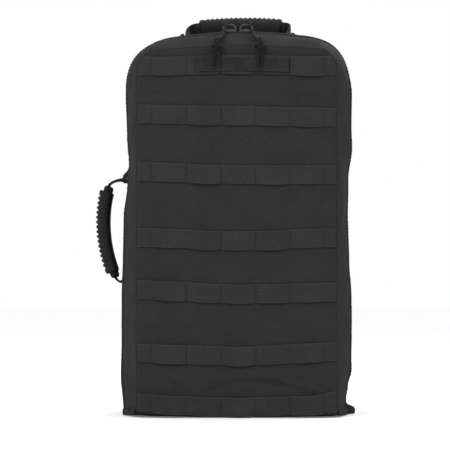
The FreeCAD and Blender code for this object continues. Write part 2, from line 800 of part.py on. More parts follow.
def splayed(body, side, depth="0"):
    """Leans a hanging piece of the harness outward about the top of the shoulder strap."""
    turn = Rotation(Vector(0, 1, 0), -side * number("harness_splay"))
    across = f"{side} * (harness_half + strap_top * sin(harness_splay))"
    return place(body, across, depth, "strap_top * (1 - cos(harness_splay))", turn)


def make_shoulder_strap(side, name):
    strap = body_named(f"shoulder_strap_{name}")
    outer = [("101.4", "strap_top"), ("120", "462"), ("133", "420"), ("135", "330"), ("128", "190")]
    inner = [("114", "190"), ("121", "330"), ("119", "415"), ("110", "443"), ("101.4", "453")]
    pad(strap, Profile(strap, "YZ_Plane").polygon(outer + inner), "harness_wide", both=True)
    splayed(strap, side)

    lock = body_named(f"ladder_lock_{name}")
    frame = Profile(lock, "XZ_Plane", "-123.5").rectangle("-18", "18", "164", "190")
    pad(lock, frame, "4.5")
    for low in (167, 178):
        slot = Profile(lock, "XZ_Plane", "-125").rectangle("-13.5", "13.5", str(low), f"{low} + 7")
        pocket(lock, slot, "8", reverse=True)
    splayed(lock, side)


def make_lower_web(side, name):
    """The strip of webbing from the wing at the foot of the pack up to the ladder lock."""
    low = Vector(side * 145.5, 102.2, 22)
    high = Vector(side * 89, 120, 158)
    run = high - low
    web = body_named(f"lower_web_{name}")
    strip = Profile(web, "XY_Plane").rectangle("-strap_wide / 2", "strap_wide / 2", "-0.8", "0.8")
    pad(web, strip, str(round(run.Length, 1)))
    up = run.normalize()
    outward = Vector(0, 1, 0)
    place(web, str(low.x), str(low.y), str(low.z), Rotation(outward.cross(up), outward, up, "ZYX"))


def make_sternum(side, name, female):
    """Half of the chest strap: a slide on the shoulder strap, the webbing that hangs from it, a buckle."""
    slide = body_named(f"sternum_slide_{name}")
    plate = Profile(slide, "XZ_Plane", "-slide_depth - 2")
    plate.rectangle("-15", "15", "sternum_at - 9", "sternum_at + 9")
    pad(slide, plate, "2")
    for lug in (-1, 1):
        ear = Profile(slide, "YZ_Plane", f"{lug} * 13.2")
        ear.rectangle("slide_depth", "bar_depth + 2", "sternum_at - 4", "sternum_at + 4")
        pad(slide, ear, "3.6", both=True)
    pad(slide, Profile(slide, "YZ_Plane").circle("bar_depth", "sternum_at", "bar_round"), "28", both=True)
    splayed(slide, side)

    web = body_named(f"sternum_web_{name}")
    pad(web, Profile(web, "YZ_Plane").circle("bar_depth", "sternum_at", "bar_round + 2"), "20", both=True)
    low, high = "sternum_at - sternum_drop", "sternum_at - bar_round - 1"
    tongue = Profile(web, "YZ_Plane").rectangle("bar_depth - 0.8", "bar_depth + 0.8", low, high)
    pad(web, tongue, "20", both=True)
    eye = Profile(web, "YZ_Plane").circle("bar_depth", "sternum_at", "bar_round + 0.4")
    pocket(web, eye, "30", both=True)
    splayed(web, side)

    def section(level, left, right, half_deep):
        profile = Profile(buckle, "XY_Plane", level)
        return profile.rectangle(left, right, f"bar_depth - {half_deep}", f"bar_depth + {half_deep}")

    if female:
        buckle = body_named("sternum_buckle_female")
        end = f"{low} - 36"
        pad(buckle, section(end, "-13", "13", 4.5), "36")
        pocket(buckle, section(end, "-10", "10", 2.6), "26", reverse=True)
    else:
        buckle = body_named("sternum_buckle_male")
        end = f"{low} - 16"
        pad(buckle, section(end, "-13", "13", 4.2), "16")
        for left, right, long in (("-9.6", "-6.2", "24"), ("-2.4", "2.4", "20"), ("6.2", "9.6", "24")):
            pad(buckle, section(end, left, right, 2.2), long, reverse=True)
    splayed(buckle, side)


# ---------------------------------------------------------------- side fittings


def make_side_webbing():
    """Strips of webbing sewn along both sides of the rear gusset."""
    pieces = []
    near, far = "-12", "76"
    for side, rows in ((-1, (62, 106, 440)), (1, (62, 140, 218, 296, 440))):
        for low in rows:
            strip = body_named("side_strip", alone=False)
            corners = [(side_wall(near), near), (side_wall(far), far)]
            corners += [(f"{side_wall(far)} + web_wall", far), (f"{side_wall(near)} + web_wall", near)]
            corners = [(f"{side} * ({a})", b) for a, b in corners]
            pad(strip, Profile(strip, "XY_Plane", str(low)).polygon(corners), "web_height")
            pieces.append(strip)
    group_named("side_webbing", pieces)


def make_rings():
    """D-rings that hang from webbing tabs, one on each side of the rear gusset."""
    tabs = []
    out = f"{side_wall('ring_at')} + tab_round + 0.3"
    lean = math.degrees(math.atan(number("(zip_half - back_half) / gusset_deep")))
    for side, name in ((-1, "left"), (1, "right")):
        turn = Rotation(Vector(0, 0, 1), lean if side > 0 else 180 - lean)
        tab = body_named("ring_tab", alone=False)
        pad(tab, Profile(tab, "XZ_Plane").circle("0", "0", "tab_round"), "23", both=True)
        sewn = Profile(tab, "XZ_Plane").rectangle("-tab_round", "1.4 - tab_round", "0", "28")
        pad(tab, sewn, "23", both=True)
        pocket(tab, Profile(tab, "XZ_Plane").circle("0", "0", "tab_round - 1.4"), "30", both=True)
        place(tab, f"{side} * ({out})", "ring_at", "ring_height", turn)
        tabs.append(tab)

        ring = body_named(f"d_ring_{name}")
        outer = Profile(ring, "YZ_Plane").bell("ring_half + ring_wire", "ring_wire / 2", "ring_drop / 2")
        pad(ring, outer, "ring_wire", both=True)
        inner = Profile(ring, "YZ_Plane").bell("ring_half", "-ring_wire / 2", "ring_drop / 2 - ring_wire")
        hole = pocket(ring, inner, "2 * ring_wire", both=True)
        soften(ring, hole, "ring_wire / 4", lambda edge: runs_along(edge).x < 0.1)
        place(ring, f"{side} * ({out})", "ring_at", "ring_height", turn)
    group_named("d_ring_tabs", tabs)


# ---------------------------------------------------------------- inside the rear shell


def make_inside():
    arched_plate("frame_sheet", BACK, "back_inner - 0.2", "1.5", "12", "12")
    arched_plate("back_lining", BACK, "back_inner - 4.5", "1.5", "6", "6")
    stays = []
    for side in (-1, 1):
        left, right = sorted((side * 50, side * 70))
        faces = ("back_inner - 4.2", "back_inner - 2")
        stays.append(block("frame_stay", str(left), str(right), *faces, "30", "460", alone=False))
    group_named("frame_stays", stays)
    for name, low in (("top", 316), ("middle", 168), ("bottom", 20)):
        block(f"kit_pouch_{name}", "-120", "120", "70", "back_inner - 6.2", str(low), f"{low} + 130")


# ---------------------------------------------------------------- the whole pack

make_shells()
make_grommets()
make_webbing()
make_name_tape()
make_mesh_pockets()
make_slider("zip_slider_right", 1)
make_slider("zip_slider_left", -1)
make_pull(1, "right")
make_pull(-1, "left")
make_handles()
make_back()
for side, name in ((-1, "left"), (1, "right")):
    make_shoulder_strap(side, name)
    make_lower_web(side, name)
    make_sternum(side, name, female=side < 0)
make_side_webbing()
make_rings()
make_inside()
doc.recompute()

for item in doc.Objects:
    if "Invalid" in item.State or "Error" in item.State:
        raise RuntimeError(f"{item.Label} failed: {item.getStatusString()}")

os.makedirs("parts", exist_ok=True)
for part in SUBPARTS:
    shape = part.Shape
    if shape.isNull() or not shape.isValid():
        raise RuntimeError(f"{part.Label} has no valid shape")
    box = shape.BoundBox
    spans = ((box.XMin, box.XMax), (box.YMin, box.YMax), (box.ZMin, box.ZMax))
    sizes = ", ".join(f"{axis} {low:.1f} to {high:.1f}" for axis, (low, high) in zip("xyz", spans))
    print(f"{part.Label}: {len(shape.Solids)} solid(s), {shape.Volume:.0f} mm3, {sizes}")
    shape.exportStep(f"parts/{part.Label}.step")
print(f"{len(SUBPARTS)} sub-parts")
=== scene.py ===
"""The looks of the trauma backpack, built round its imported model.

Metres, Z up, the front faces -Y. Cloth pieces are grids over the shape functions of the first sections,
so whatever lies on a panel follows the same folds as the panel does.
"""

import json
import math

import bmesh
import bpy
import numpy as np
from mathutils import Matrix, Vector, noise

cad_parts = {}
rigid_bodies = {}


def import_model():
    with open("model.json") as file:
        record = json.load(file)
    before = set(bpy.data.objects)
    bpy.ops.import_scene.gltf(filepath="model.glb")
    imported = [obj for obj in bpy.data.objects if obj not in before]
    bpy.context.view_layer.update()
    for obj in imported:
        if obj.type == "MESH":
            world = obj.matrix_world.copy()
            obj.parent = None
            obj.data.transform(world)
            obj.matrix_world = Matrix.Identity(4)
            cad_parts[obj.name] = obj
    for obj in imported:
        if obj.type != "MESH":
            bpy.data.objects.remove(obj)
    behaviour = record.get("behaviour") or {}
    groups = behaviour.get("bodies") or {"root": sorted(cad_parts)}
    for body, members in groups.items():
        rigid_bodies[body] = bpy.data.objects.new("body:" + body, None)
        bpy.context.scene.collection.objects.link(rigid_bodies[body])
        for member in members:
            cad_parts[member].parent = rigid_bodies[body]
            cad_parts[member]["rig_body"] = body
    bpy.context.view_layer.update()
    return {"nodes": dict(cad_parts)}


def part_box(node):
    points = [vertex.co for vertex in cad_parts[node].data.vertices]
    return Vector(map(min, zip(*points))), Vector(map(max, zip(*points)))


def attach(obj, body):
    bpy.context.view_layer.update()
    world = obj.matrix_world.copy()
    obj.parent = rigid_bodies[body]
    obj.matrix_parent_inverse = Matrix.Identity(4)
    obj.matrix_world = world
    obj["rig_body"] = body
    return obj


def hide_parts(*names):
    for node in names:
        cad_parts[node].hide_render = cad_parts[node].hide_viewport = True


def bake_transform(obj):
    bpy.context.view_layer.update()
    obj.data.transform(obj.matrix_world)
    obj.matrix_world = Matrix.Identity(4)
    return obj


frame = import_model()
MM = 0.001
scene = bpy.context.scene


def box(node):
    return [Vector(corner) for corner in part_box(node)]


# ---------------------------------------------------------------- sizes that the model settles

FRONT_LOW, FRONT_HIGH = box("front_panel")
BACK_LOW, BACK_HIGH = box("back_panel")
REAR_LOW, REAR_HIGH = box("rear_gusset")
DOOR_LOW, DOOR_HIGH = box("front_gusset")
FRONT_Y, ZIP_Y = FRONT_LOW.y, -0.030
BACK_Y = BACK_LOW.y
# Each outline: half width, top, corner radius, radius of the arched top.
FRONT = (FRONT_HIGH.x, FRONT_HIGH.z, 0.031, 1.088)
ZIP = (REAR_HIGH.x, REAR_HIGH.z, 0.076, 0.713)
BACK = (BACK_HIGH.x, BACK_HIGH.z, 0.070, 0.713)
# The width and thickness of webbing, and of the sewn walls' outer cloth.
WEB, WEB_THICK, WALL = 0.0254, 1.5 * MM, 2.6 * MM
# The rows' tacks are a pitch apart, and the rows end a little short of the panel's sides.
TACK_PITCH, ROW_END = 0.047, 0.1352
TACKS = [x * TACK_PITCH for x in (-2.5, -1.5, -0.5, 0.5, 1.5, 2.5)]
# Half the base's width at the front, at the zip and behind.
BASE_HALF = (0.135, 0.154, 0.148)
# Where the carrying handles and the rings stand, in (y, z), and how far out the side handle's foot line is.
TOP_HANDLE, SIDE_HANDLE, SIDE_HANDLE_OUT, RING = (0.012, 0.53292), (0.032, 0.258), 0.15195, (0.058, 0.388)


SIDES = ((-1, "left"), (1, "right"))


def inset(sizes, by):
    return tuple(size - by for size in sizes)


def outline(sizes, t, base):
    """Point and outward normal of an arched outline in the XZ plane.

    t runs 0 to 5: side, corner, top, corner, side.
    """
    half, top, corner, arch = sizes
    corner_z = top - arch + math.sqrt((arch - corner) ** 2 - (half - corner) ** 2)
    centre = Vector((half - corner, corner_z))
    lean = math.atan2(corner_z - (top - arch), half - corner)
    part, f = min(int(t), 4), t - min(int(t), 4)
    if part in (0, 4):
        side = -1 if part == 0 else 1
        rise = f if part == 0 else 1 - f
        return Vector((side * half, base + (corner_z - base) * rise)), Vector((side, 0))
    if part == 2:
        angle = math.pi - lean + (2 * lean - math.pi) * f
        normal = Vector((math.cos(angle), math.sin(angle)))
        return Vector((0, top - arch)) + normal * arch, normal
    side = -1 if part == 1 else 1
    angle = lean * (f if part == 1 else 1 - f)
    normal = Vector((side * math.cos(angle), math.sin(angle)))
    return Vector((side * centre.x, centre.y)) + normal * corner, normal


def arch_steps(side=60, corner=18, top=56):
    """Values of t that cover an outline evenly enough."""
    counts = (side, corner, top, corner, side)
    return [part + i / n for part, n in enumerate(counts) for i in range(n)] + [5.0]


# Steps of a finer cover, for what is sewn along the zip.
FINE = (90, 24, 80)


def arch_outs(sizes, steps):
    """The outward directions of an arched outline."""
    normals = [outline(sizes, t, 0)[1] for t in steps]
    return [Vector((n.x, 0, n.y)) for n in normals]


def smooth(a, b, x):
    f = min(max((x - a) / (b - a), 0), 1)
    return f * f * (3 - 2 * f)


def graph(points, x):
    """A smooth curve through (place, value) pairs, level past both ends."""
    for (x0, y0), (x1, y1) in zip(points, points[1:]):
        if x < x1:
            return y0 + (y1 - y0) * smooth(x0, x1, x)
    return points[-1][1]


# How far the sewn zip line wanders out of its true outline, from the floor up, in mm: (height, outward).
WANDER = {
    -1: [
        (0, 3), (60, 7), (100, 6), (165, 6), (215, 4.5), (272, 3), (330, -3), (345, -4.5), (362, -4.5), (385, -1.5),
        (440, 0), (480, 0),
    ],
    1: [
        (0, -6), (22, -6), (42, -3), (62, 2), (160, 2), (216, -1), (272, -3), (328, -2), (370, 3), (400, 2.5),
        (440, 3), (480, 0),
    ],
}


# The middle of each top corner, and how far its fullness reaches.
CORNER_AT, CORNER_REACH = (0.137, 0.498), 0.032


def drift(x, y, z):
    """How far the sewn pack departs from its true outline at a point: (sideways, up)."""
    side = -1 if x < 0 else 1
    # Under the side handle the wall is true again a little way behind the zip.
    true_at = BACK_Y if side > 0 else 0.008 + (BACK_Y - 0.008) * smooth(0.315, 0.36, z)
    at_zip = smooth(FRONT_Y, ZIP_Y, y) if y < ZIP_Y else 1 - smooth(ZIP_Y, true_at, y)
    in_front = 1 - smooth(FRONT_LOW.y, DOOR_HIGH.y, y)
    across = side * at_zip * min(abs(x) / ZIP[0], 1) * graph(WANDER[side], z / MM)
    # The front panel's side seams both lie a little to the left.
    across -= in_front * (3.0 if side < 0 else 1.3) * min(abs(x) / FRONT[0], 1) ** 4
    # The top slopes down to the left, and its corners are squarer than arcs.
    upper = (0.4 + 0.6 * at_zip) * (1 if y < ZIP_Y else at_zip)
    up = 0.026 * x / MM * smooth(0.43, 0.5, z) * upper * (1 if x < 0 else smooth(0.085, 0.13, x))
    gap = math.hypot(abs(x) - CORNER_AT[0], z - CORNER_AT[1]) / CORNER_REACH
    bump = (4.6 if side < 0 else 3.0) * math.exp(-gap * gap) * upper
    across += side * 0.75 * bump
    up += 0.5 * bump
    # The foot of the front lifts at its ends.
    up += in_front * (4.5 if side < 0 else 2.0) * min(abs(x) / FRONT[0], 1) ** 3 * (1 - smooth(0.005, 0.06, z))
    return across * MM, up * MM


def drifted(p):
    across, up = drift(p.x, p.y, p.z)
    return Vector((p.x + across, p.y, p.z + up))


def puff(p, size, depth):
    """Soft unevenness of padded cloth at a point."""
    return depth * noise.noise(Vector(p) / size)


def gusset_at(y):
    """The outline and base height of the shell at a depth, and how far the cloth swells there."""
    if y < DOOR_HIGH.y:
        f = max((y - DOOR_LOW.y) / (DOOR_HIGH.y - DOOR_LOW.y), 0)
        return [a + (b - a) * f for a, b in zip(FRONT, ZIP)], DOOR_LOW.z, 2.2 * MM * math.sin(math.pi * f)
    if y < REAR_LOW.y:
        return ZIP, DOOR_LOW.z if y < ZIP_Y else REAR_LOW.z, 0.0
    f = min((y - REAR_LOW.y) / (REAR_HIGH.y - REAR_LOW.y), 1)
    return [a + (b - a) * f for a, b in zip(ZIP, BACK)], REAR_LOW.z, 1.2 * MM * math.sin(math.pi * f)


def side_point(t, y, lift):
    """A point on the outer face of either gusset, t along the outline, y in depth; lift stands it proud."""
    sizes, base, swell = gusset_at(y)
    flat, normal = outline(sizes, t, base)
    fold = puff((flat.x, y * 1.6, flat.y), 0.045, 1.1 * MM) + puff((flat.x, y, flat.y * 0.6), 0.016, 0.35 * MM)
    if 1 < t < 4:
        fold *= 0.5
    if DOOR_HIGH.y - 1e-6 < y < REAR_LOW.y + 1e-6:
        fold = 0
    flat = flat + normal * (swell + fold + lift)
    return drifted(Vector((flat.x, y, flat.y)))


def wall_t(side, z, y):
    """The t of the height z on one side of the rear gusset."""
    (half, top, corner, arch), base, _ = gusset_at(y)
    corner_z = top - arch + math.sqrt((arch - corner) ** 2 - (half - corner) ** 2)
    rise = (z - base) / (corner_z - base)
    return rise if side < 0 else 5 - rise


# Creases in the front panel, in mm: start, top of the bow, end (each x, z), half width, height.
CREASES = (
    ((-42, 44), (6, 57), (58, 52), 5.5, 1.5),
    ((22, 55), (58, 52), (112, 34), 5.0, 1.6),
    ((60, 60), (92, 53), (122, 42), 4.0, 1.0),
    ((-128, 452), (-112, 447), (-92, 450), 4.0, 1.0),
    ((70, 441), (98, 446), (132, 432), 5.0, 1.5),
    ((96, 392), (118, 388), (134, 372), 4.0, 1.2),
    ((66, 300), (98, 296), (134, 304), 5.0, 0.9),
    ((-20, 118), (20, 124), (66, 112), 7.0, 0.7),
    ((-130, 134), (-100, 128), (-60, 132), 6.0, 0.6),
)


def edge_distance(sizes, x, z):
    """How far inside an arched outline a point lies, sides and top only."""
    half, top, corner, arch = sizes
    centre = top - arch + math.sqrt((arch - corner) ** 2 - (half - corner) ** 2)
    dx, dz = abs(x) - (half - corner), z - centre
    if dz < 0:
        return half - abs(x)
    if math.atan2(dz, dx) < math.atan2(centre - (top - arch), half - corner):
        return corner - math.hypot(dx, dz)
    return arch - math.hypot(x, z - (top - arch))


def rolled(d, roll, depth):
    """How far a cloth edge has turned away, at a distance d from it."""
    f = max(1 - max(d, 0) / roll, 0)
    return depth * (1 - math.sqrt(max(1 - f * f, 0)))


def front_y(x, z):
    """Depth of the front panel's outer face: a slack pillow with creases."""
    width, height = x / FRONT[0], (z - FRONT_LOW.z) / (FRONT[1] - FRONT_LOW.z)
    pillow = 2.0 * MM * max(0, 1 - width**4) * smooth(1.0, 0.8, height) * smooth(0, 0.1, height)
    folds = puff((x, 0, z), 0.05, 0.9 * MM) + puff((x * 0.7, 0.3, z), 0.018, 0.35 * MM)
    for (x0, z0), (x1, z1), (x2, z2), wide, high in CREASES:
        mid = (x / MM - x0) / (x2 - x0)
        if -0.15 < mid < 1.15:
            bow = z1 - (z0 + (z2 - z0) * (x1 - x0) / (x2 - x0))
            line = z0 + (z2 - z0) * mid + bow * 4 * mid * (1 - mid)
            d = (z / MM - line) / wide
            fade = smooth(-0.15, 0.15, mid) * smooth(1.15, 0.85, mid)
            folds += high * MM * fade * (math.exp(-d * d) - 0.8 * math.exp(-((d + 1.5) ** 2)))
    edge = smooth(1.0, 0.96, abs(width)) * smooth(0, 0.012, height)
    turned = rolled(min(edge_distance(FRONT, x, z), z - FRONT_LOW.z + 2 * MM), 5 * MM, 3.6 * MM)
    return FRONT_Y - (pillow + folds) * edge + turned


# ---------------------------------------------------------------- materials


class Nodes:
    """A material's node tree, with short calls for the nodes that are used here."""

    def __init__(self, name, color, rough, **sockets):
        self.material = bpy.data.materials.new(name)
        self.material.use_nodes = True
        self.tree = self.material.node_tree
        self.shader = self.tree.nodes["Principled BSDF"]
        self.material.diffuse_color = (*color, 1)
        self.color = color
        self.shader.inputs["Base Color"].default_value = (*color, 1)
        self.shader.inputs["Roughness"].default_value = rough
        for key, value in sockets.items():
            self.shader.inputs[key.replace("_", " ")].default_value = value
        self.coords = self.tree.nodes.new("ShaderNodeTexCoord")

    def node(self, kind, attributes=(), **inputs):
        made = self.tree.nodes.new("ShaderNode" + kind)
        for key, value in dict(attributes).items():
            setattr(made, key, value)
        for key, value in inputs.items():
            socket = made.inputs[key.replace("_", " ")]
            if isinstance(value, bpy.types.NodeSocket):
                self.tree.links.new(value, socket)
            else:
                socket.default_value = value
        return made

    def math(self, operation, a, b=0.0):
        made = self.node("Math", {"operation": operation})
        for socket, value in zip(made.inputs, (a, b)):
            if isinstance(value, bpy.types.NodeSocket):
                self.tree.links.new(value, socket)
            else:
                socket.default_value = value
        return made.outputs[0]

    def noise(self, scale, detail=2.0):
        place = self.coords.outputs["Object"]
        return self.node("TexNoise", Vector=place, Scale=scale, Detail=detail).outputs["Fac"]

    def spread(self, value, low, high, start=0.3, end=0.7):
        made = self.node("MapRange", Value=value, From_Min=start, From_Max=end, To_Min=low, To_Max=high)
        return made.outputs[0]

    def bands(self, pitch, direction, turn=0.0, space="UV"):
        """Ridges every pitch metres across the piece's own U or V."""
        turned = self.node("Mapping", Vector=self.coords.outputs[space], Rotation=(0, 0, turn))
        wave = self.node(
            "TexWave",
            {"bands_direction": direction, "wave_profile": "SIN"},
            Vector=turned.outputs[0],
            Scale=math.pi / 10 / pitch,
        )
        return wave.outputs["Fac"]

    def shade(self, *factors, dust=None):
        """The base colour times each factor, with dust of its own colour over it."""
        value = factors[0]
        for factor in factors[1:]:
            value = self.math("MULTIPLY", value, factor)
        tone = self.node("HueSaturation", Color=(*self.color, 1), Value=value).outputs[0]
        if dust:
            color, amount = dust
            mix = self.node("Mix", {"data_type": "RGBA"})
            self.tree.links.new(amount, mix.inputs["Factor"])
            self.tree.links.new(tone, mix.inputs[6])
            mix.inputs[7].default_value = (*color, 1)
            tone = mix.outputs[2]
        self.tree.links.new(tone, self.shader.inputs["Base Color"])

    def bump(self, height, distance, strength):
        made = self.node("Bump", Height=height, Distance=distance, Strength=strength)
        self.tree.links.new(made.outputs[0], self.shader.inputs["Normal"])

    def roughen(self, low, high, scale):
        self.tree.links.new(self.spread(self.noise(scale), low, high), self.shader.inputs["Roughness"])


def woven(name, color, pitch, space="UV", across="Y"):
    """Plain-woven nylon: crossing threads, heathered grain, faint dust and scuffs."""
    n = Nodes(name, color, 0.88, Specular_IOR_Level=0.05)
    weft, warp = n.bands(pitch, "X", 0.0, space), n.bands(pitch, across, 0.0, space)
    weave = n.math("MULTIPLY", weft, warp)
    grain = n.spread(n.noise(1500, 1), 0.86, 1.16)
    mottle = n.spread(n.noise(22, 4), 0.95, 1.05)
    streak = n.spread(n.noise(260, 2), 0.93, 1.07)
    n.shade(grain, mottle, streak, n.spread(weave, 0.82, 1.1, 0, 1))
    n.bump(n.math("ADD", weave, n.math("MULTIPLY", n.noise(700, 2), 0.6)), 0.00022, 0.7)
    n.roughen(0.75, 0.95, 40)
    return n.material


def ribbed(name, color, dusty):
    """Webbing: ribs along its length, fine picks across it, paler where it is scuffed, and a painted highlight along
    both edges.
    """
    n = Nodes(name, color, 0.8, Specular_IOR_Level=0.08)
    ribs, picks = n.bands(0.0032, "Y"), n.bands(0.00105, "X", 0.35)
    height = n.math("ADD", ribs, n.math("MULTIPLY", picks, 0.5))
    grain = n.spread(n.noise(750, 2), 0.72, 1.3)
    down = n.node("SeparateXYZ", Vector=n.coords.outputs["UV"]).outputs["Y"]
    # Painted highlight: both edges of the webbing are lightened, as where light catches them.
    edge_highlight = n.math("ABSOLUTE", n.math("SUBTRACT", n.math("DIVIDE", down, WEB), 0.5))
    mottle = n.spread(n.noise(30, 4), 0.92, 1.08)
    amount = n.math("MULTIPLY", n.spread(n.noise(17, 3), 0.0, dusty, 0.5, 0.72), n.spread(n.noise(600, 1), 0.3, 1.0))
    n.shade(
        n.spread(ribs, 0.9, 1.06, 0, 1), n.spread(picks, 0.84, 1.14, 0, 1), n.spread(edge_highlight, 1, 1.3, 0.43, 0.48),
        grain, mottle, dust=((0.042, 0.039, 0.036), amount),
    )
    n.bump(height, 0.0002, 0.8)
    n.roughen(0.68, 0.9, 60)
    return n.material


def braided(name, color):
    """The braided sheath of a cord: two sets of slanted strands."""
    n = Nodes(name, color, 0.8, Specular_IOR_Level=0.1)
    first = n.node("TexVoronoi", Vector=n.coords.outputs["Object"], Scale=900.0).outputs["Distance"]
    n.shade(n.spread(first, 1.25, 0.6, 0.1, 0.8), n.spread(n.noise(300), 0.85, 1.15))
    n.bump(n.math("MULTIPLY", first, -1), 0.0004, 0.8)
    return n.material


def netting(name, color, cell):
    """Spacer mesh: a field of small round holes."""
    n = Nodes(name, color, 0.85, Sheen_Weight=0.04, Sheen_Roughness=0.5, Specular_IOR_Level=0.15)
    cells = n.node("TexVoronoi", Vector=n.coords.outputs["Object"], Scale=1 / cell, Randomness=0.25)
    hole = cells.outputs["Distance"]
    n.shade(n.spread(hole, 0.35, 1.25, 0.15, 0.55), n.spread(n.noise(25, 3), 0.9, 1.1))
    n.bump(n.math("MINIMUM", hole, 0.5), 0.0009, 0.9)
    return n.material


def solid(name, color, rough, metallic, grain_scale, grain, specular=0.5):
    """Moulded plastic, rubber or metal: fine grain, handling marks, worn gloss."""
    n = Nodes(name, color, rough, Metallic=metallic, Specular_IOR_Level=specular)
    fine = n.noise(grain_scale, 3)
    n.shade(n.spread(n.noise(60, 3), 0.85, 1.15), n.spread(fine, 0.93, 1.07))
    n.roughen(max(rough - 0.1, 0.08), rough + 0.12, 130)
    n.bump(fine, grain, 0.6)
    return n.material


def stitched(name, color):
    n = Nodes(name, color, 0.6, Specular_IOR_Level=0.3)
    twist = n.bands(0.0009, "X", 0.6, "Object")
    n.shade(n.spread(twist, 0.75, 1.2, 0, 1), n.spread(n.noise(400), 0.85, 1.15))
    n.bump(twist, 0.00015, 0.8)
    return n.material


def hooked(name):
    """Hook tape: a dense field of stiff loops on a woven ground."""
    n = Nodes(name, (0.024, 0.024, 0.024), 0.9, Specular_IOR_Level=0.05)
    dots = n.node("TexVoronoi", Vector=n.coords.outputs["Object"], Scale=1100.0, Randomness=0.6).outputs["Distance"]
    n.shade(n.spread(dots, 1.4, 0.55, 0.1, 0.7), n.spread(n.noise(60, 4), 0.85, 1.15))
    n.bump(n.math("MULTIPLY", dots, -1), 0.0006, 1.0)
    return n.material


def filmed(name):
    """Clear vinyl, slightly clouded and rippled."""
    n = Nodes(name, (0.16, 0.165, 0.17), 0.14, Specular_IOR_Level=0.6, Coat_Weight=0.6)
    n.shade(n.spread(n.noise(14, 3), 0.8, 1.2), n.spread(n.noise(200, 2), 0.95, 1.05))
    n.bump(n.noise(35, 3), 0.0012, 0.5)
    n.roughen(0.1, 0.24, 50)
    return n.material


# Each finish: how it is made, its colour and its own sizes.
LOOKS = {
    "shell_cloth": (woven, (0.0222, 0.0222, 0.0224), 0.0009),
    "harness_cloth": (woven, (0.0205, 0.0205, 0.021), 0.0009, "Object", "Z"),
    "lining_cloth": (woven, (0.05, 0.051, 0.054), 0.0007),
    "pouch_cloth": (woven, (0.045, 0.046, 0.049), 0.0009),
    "tape_cloth": (woven, (0.014, 0.014, 0.0145), 0.0006),
    "web_cloth": (ribbed, (0.0205, 0.0205, 0.0205), 0.2),
    "dark_web": (ribbed, (0.016, 0.016, 0.0165), 0.1),
    "binding": (ribbed, (0.017, 0.017, 0.0175), 0.1),
    "hook_tape": (hooked,),
    "clear_film": (filmed,),
    "cord_sheath": (braided, (0.0105, 0.0101, 0.0098)),
    "air_mesh": (netting, (0.02, 0.02, 0.021), 0.0028),
    "thread": (stitched, (0.013, 0.013, 0.0135)),
    "edge_thread": (stitched, (0.034, 0.034, 0.034)),
    "tack_thread": (stitched, (0.008, 0.008, 0.0085)),
    "buckle_plastic": (solid, (0.012, 0.012, 0.0125), 0.42, 0.0, 1800, 0.00005, 0.3),
    "grip_rubber": (solid, (0.0145, 0.0142, 0.014), 0.7, 0.0, 1300, 0.00008, 0.12),
    "slider_steel": (solid, (0.085, 0.085, 0.09), 0.34, 1.0, 900, 0.00003),
    "black_enamel": (solid, (0.02, 0.02, 0.021), 0.35, 0.3, 900, 0.00003),
    "coil_nylon": (solid, (0.018, 0.018, 0.0185), 0.3, 0.0, 1500, 0.00003),
    "net_thread": (solid, (0.03, 0.03, 0.031), 0.6, 0.0, 900, 0.00004),
    "stay_alloy": (solid, (0.6, 0.6, 0.62), 0.35, 1.0, 500, 0.00003),
    "frame_sheet_plastic": (solid, (0.05, 0.05, 0.052), 0.45, 0.0, 400, 0.0001),
}
MADE = {}


def look(name):
    """One of the finishes, made when it is first asked for."""
    if name not in MADE:
        make, *values = LOOKS[name]
        MADE[name] = make(name, *values)
    return MADE[name]


# ---------------------------------------------------------------- mesh makers


def piece(name, verts, faces, material, body, replaces=(), uvs=None):
    """A smooth mesh object that rides on a body. uvs are one (u, v) in metres for each vertex."""
    mesh = bpy.data.meshes.new(name)
    mesh.from_pydata([tuple(v) for v in verts], [], [tuple(f) for f in faces])
    if uvs is not None:
        layer = mesh.uv_layers.new(name="UVMap")
        corners = np.empty(len(mesh.loops), int)
        mesh.loops.foreach_get("vertex_index", corners)
        layer.data.foreach_set("uv", np.asarray(uvs, float)[corners].astype(np.float32).ravel())
    mesh.polygons.foreach_set("use_smooth", [True] * len(mesh.polygons))
    mesh.materials.append(look(material))
    obj = bpy.data.objects.new(name, mesh)
    scene.collection.objects.link(obj)
    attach(obj, body)
    if replaces:
        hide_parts(*replaces)
    return obj


def heading(path, i):
    """The direction of a path at one of its points."""
    return (path[min(i + 1, len(path) - 1)] - path[max(i - 1, 0)]).normalized()


def grid_faces(n, m, closed=False, start=0, flip=False):
    """Quads of an n by m grid of vertices; closed joins the last column to the first."""
    faces = []
    for i in range(n - 1):
        for j in range(m if closed else m - 1):
            k = (j + 1) % m
            quad = (start + i * m + j, start + (i + 1) * m + j, start + (i + 1) * m + k, start + i * m + k)
            faces.append(quad[::-1] if flip else quad)
    return faces


def capped_faces(n, m):
    """Quads of a tube of n rings of m vertices, with a face over each end."""
    return grid_faces(n, m, closed=True) + [tuple(range(m)), tuple(range((n - 1) * m, n * m))[::-1]]


def closed_out(obj):
    """Makes a closed piece's normals point outwards."""
    shape = bmesh.new()
    shape.from_mesh(obj.data)
    bmesh.ops.recalc_face_normals(shape, faces=shape.faces)
    shape.to_mesh(obj.data)
    shape.free()
    return obj


def smoothed(obj, levels):
    soft = obj.modifiers.new("smooth", "SUBSURF")
    soft.levels = soft.render_levels = levels


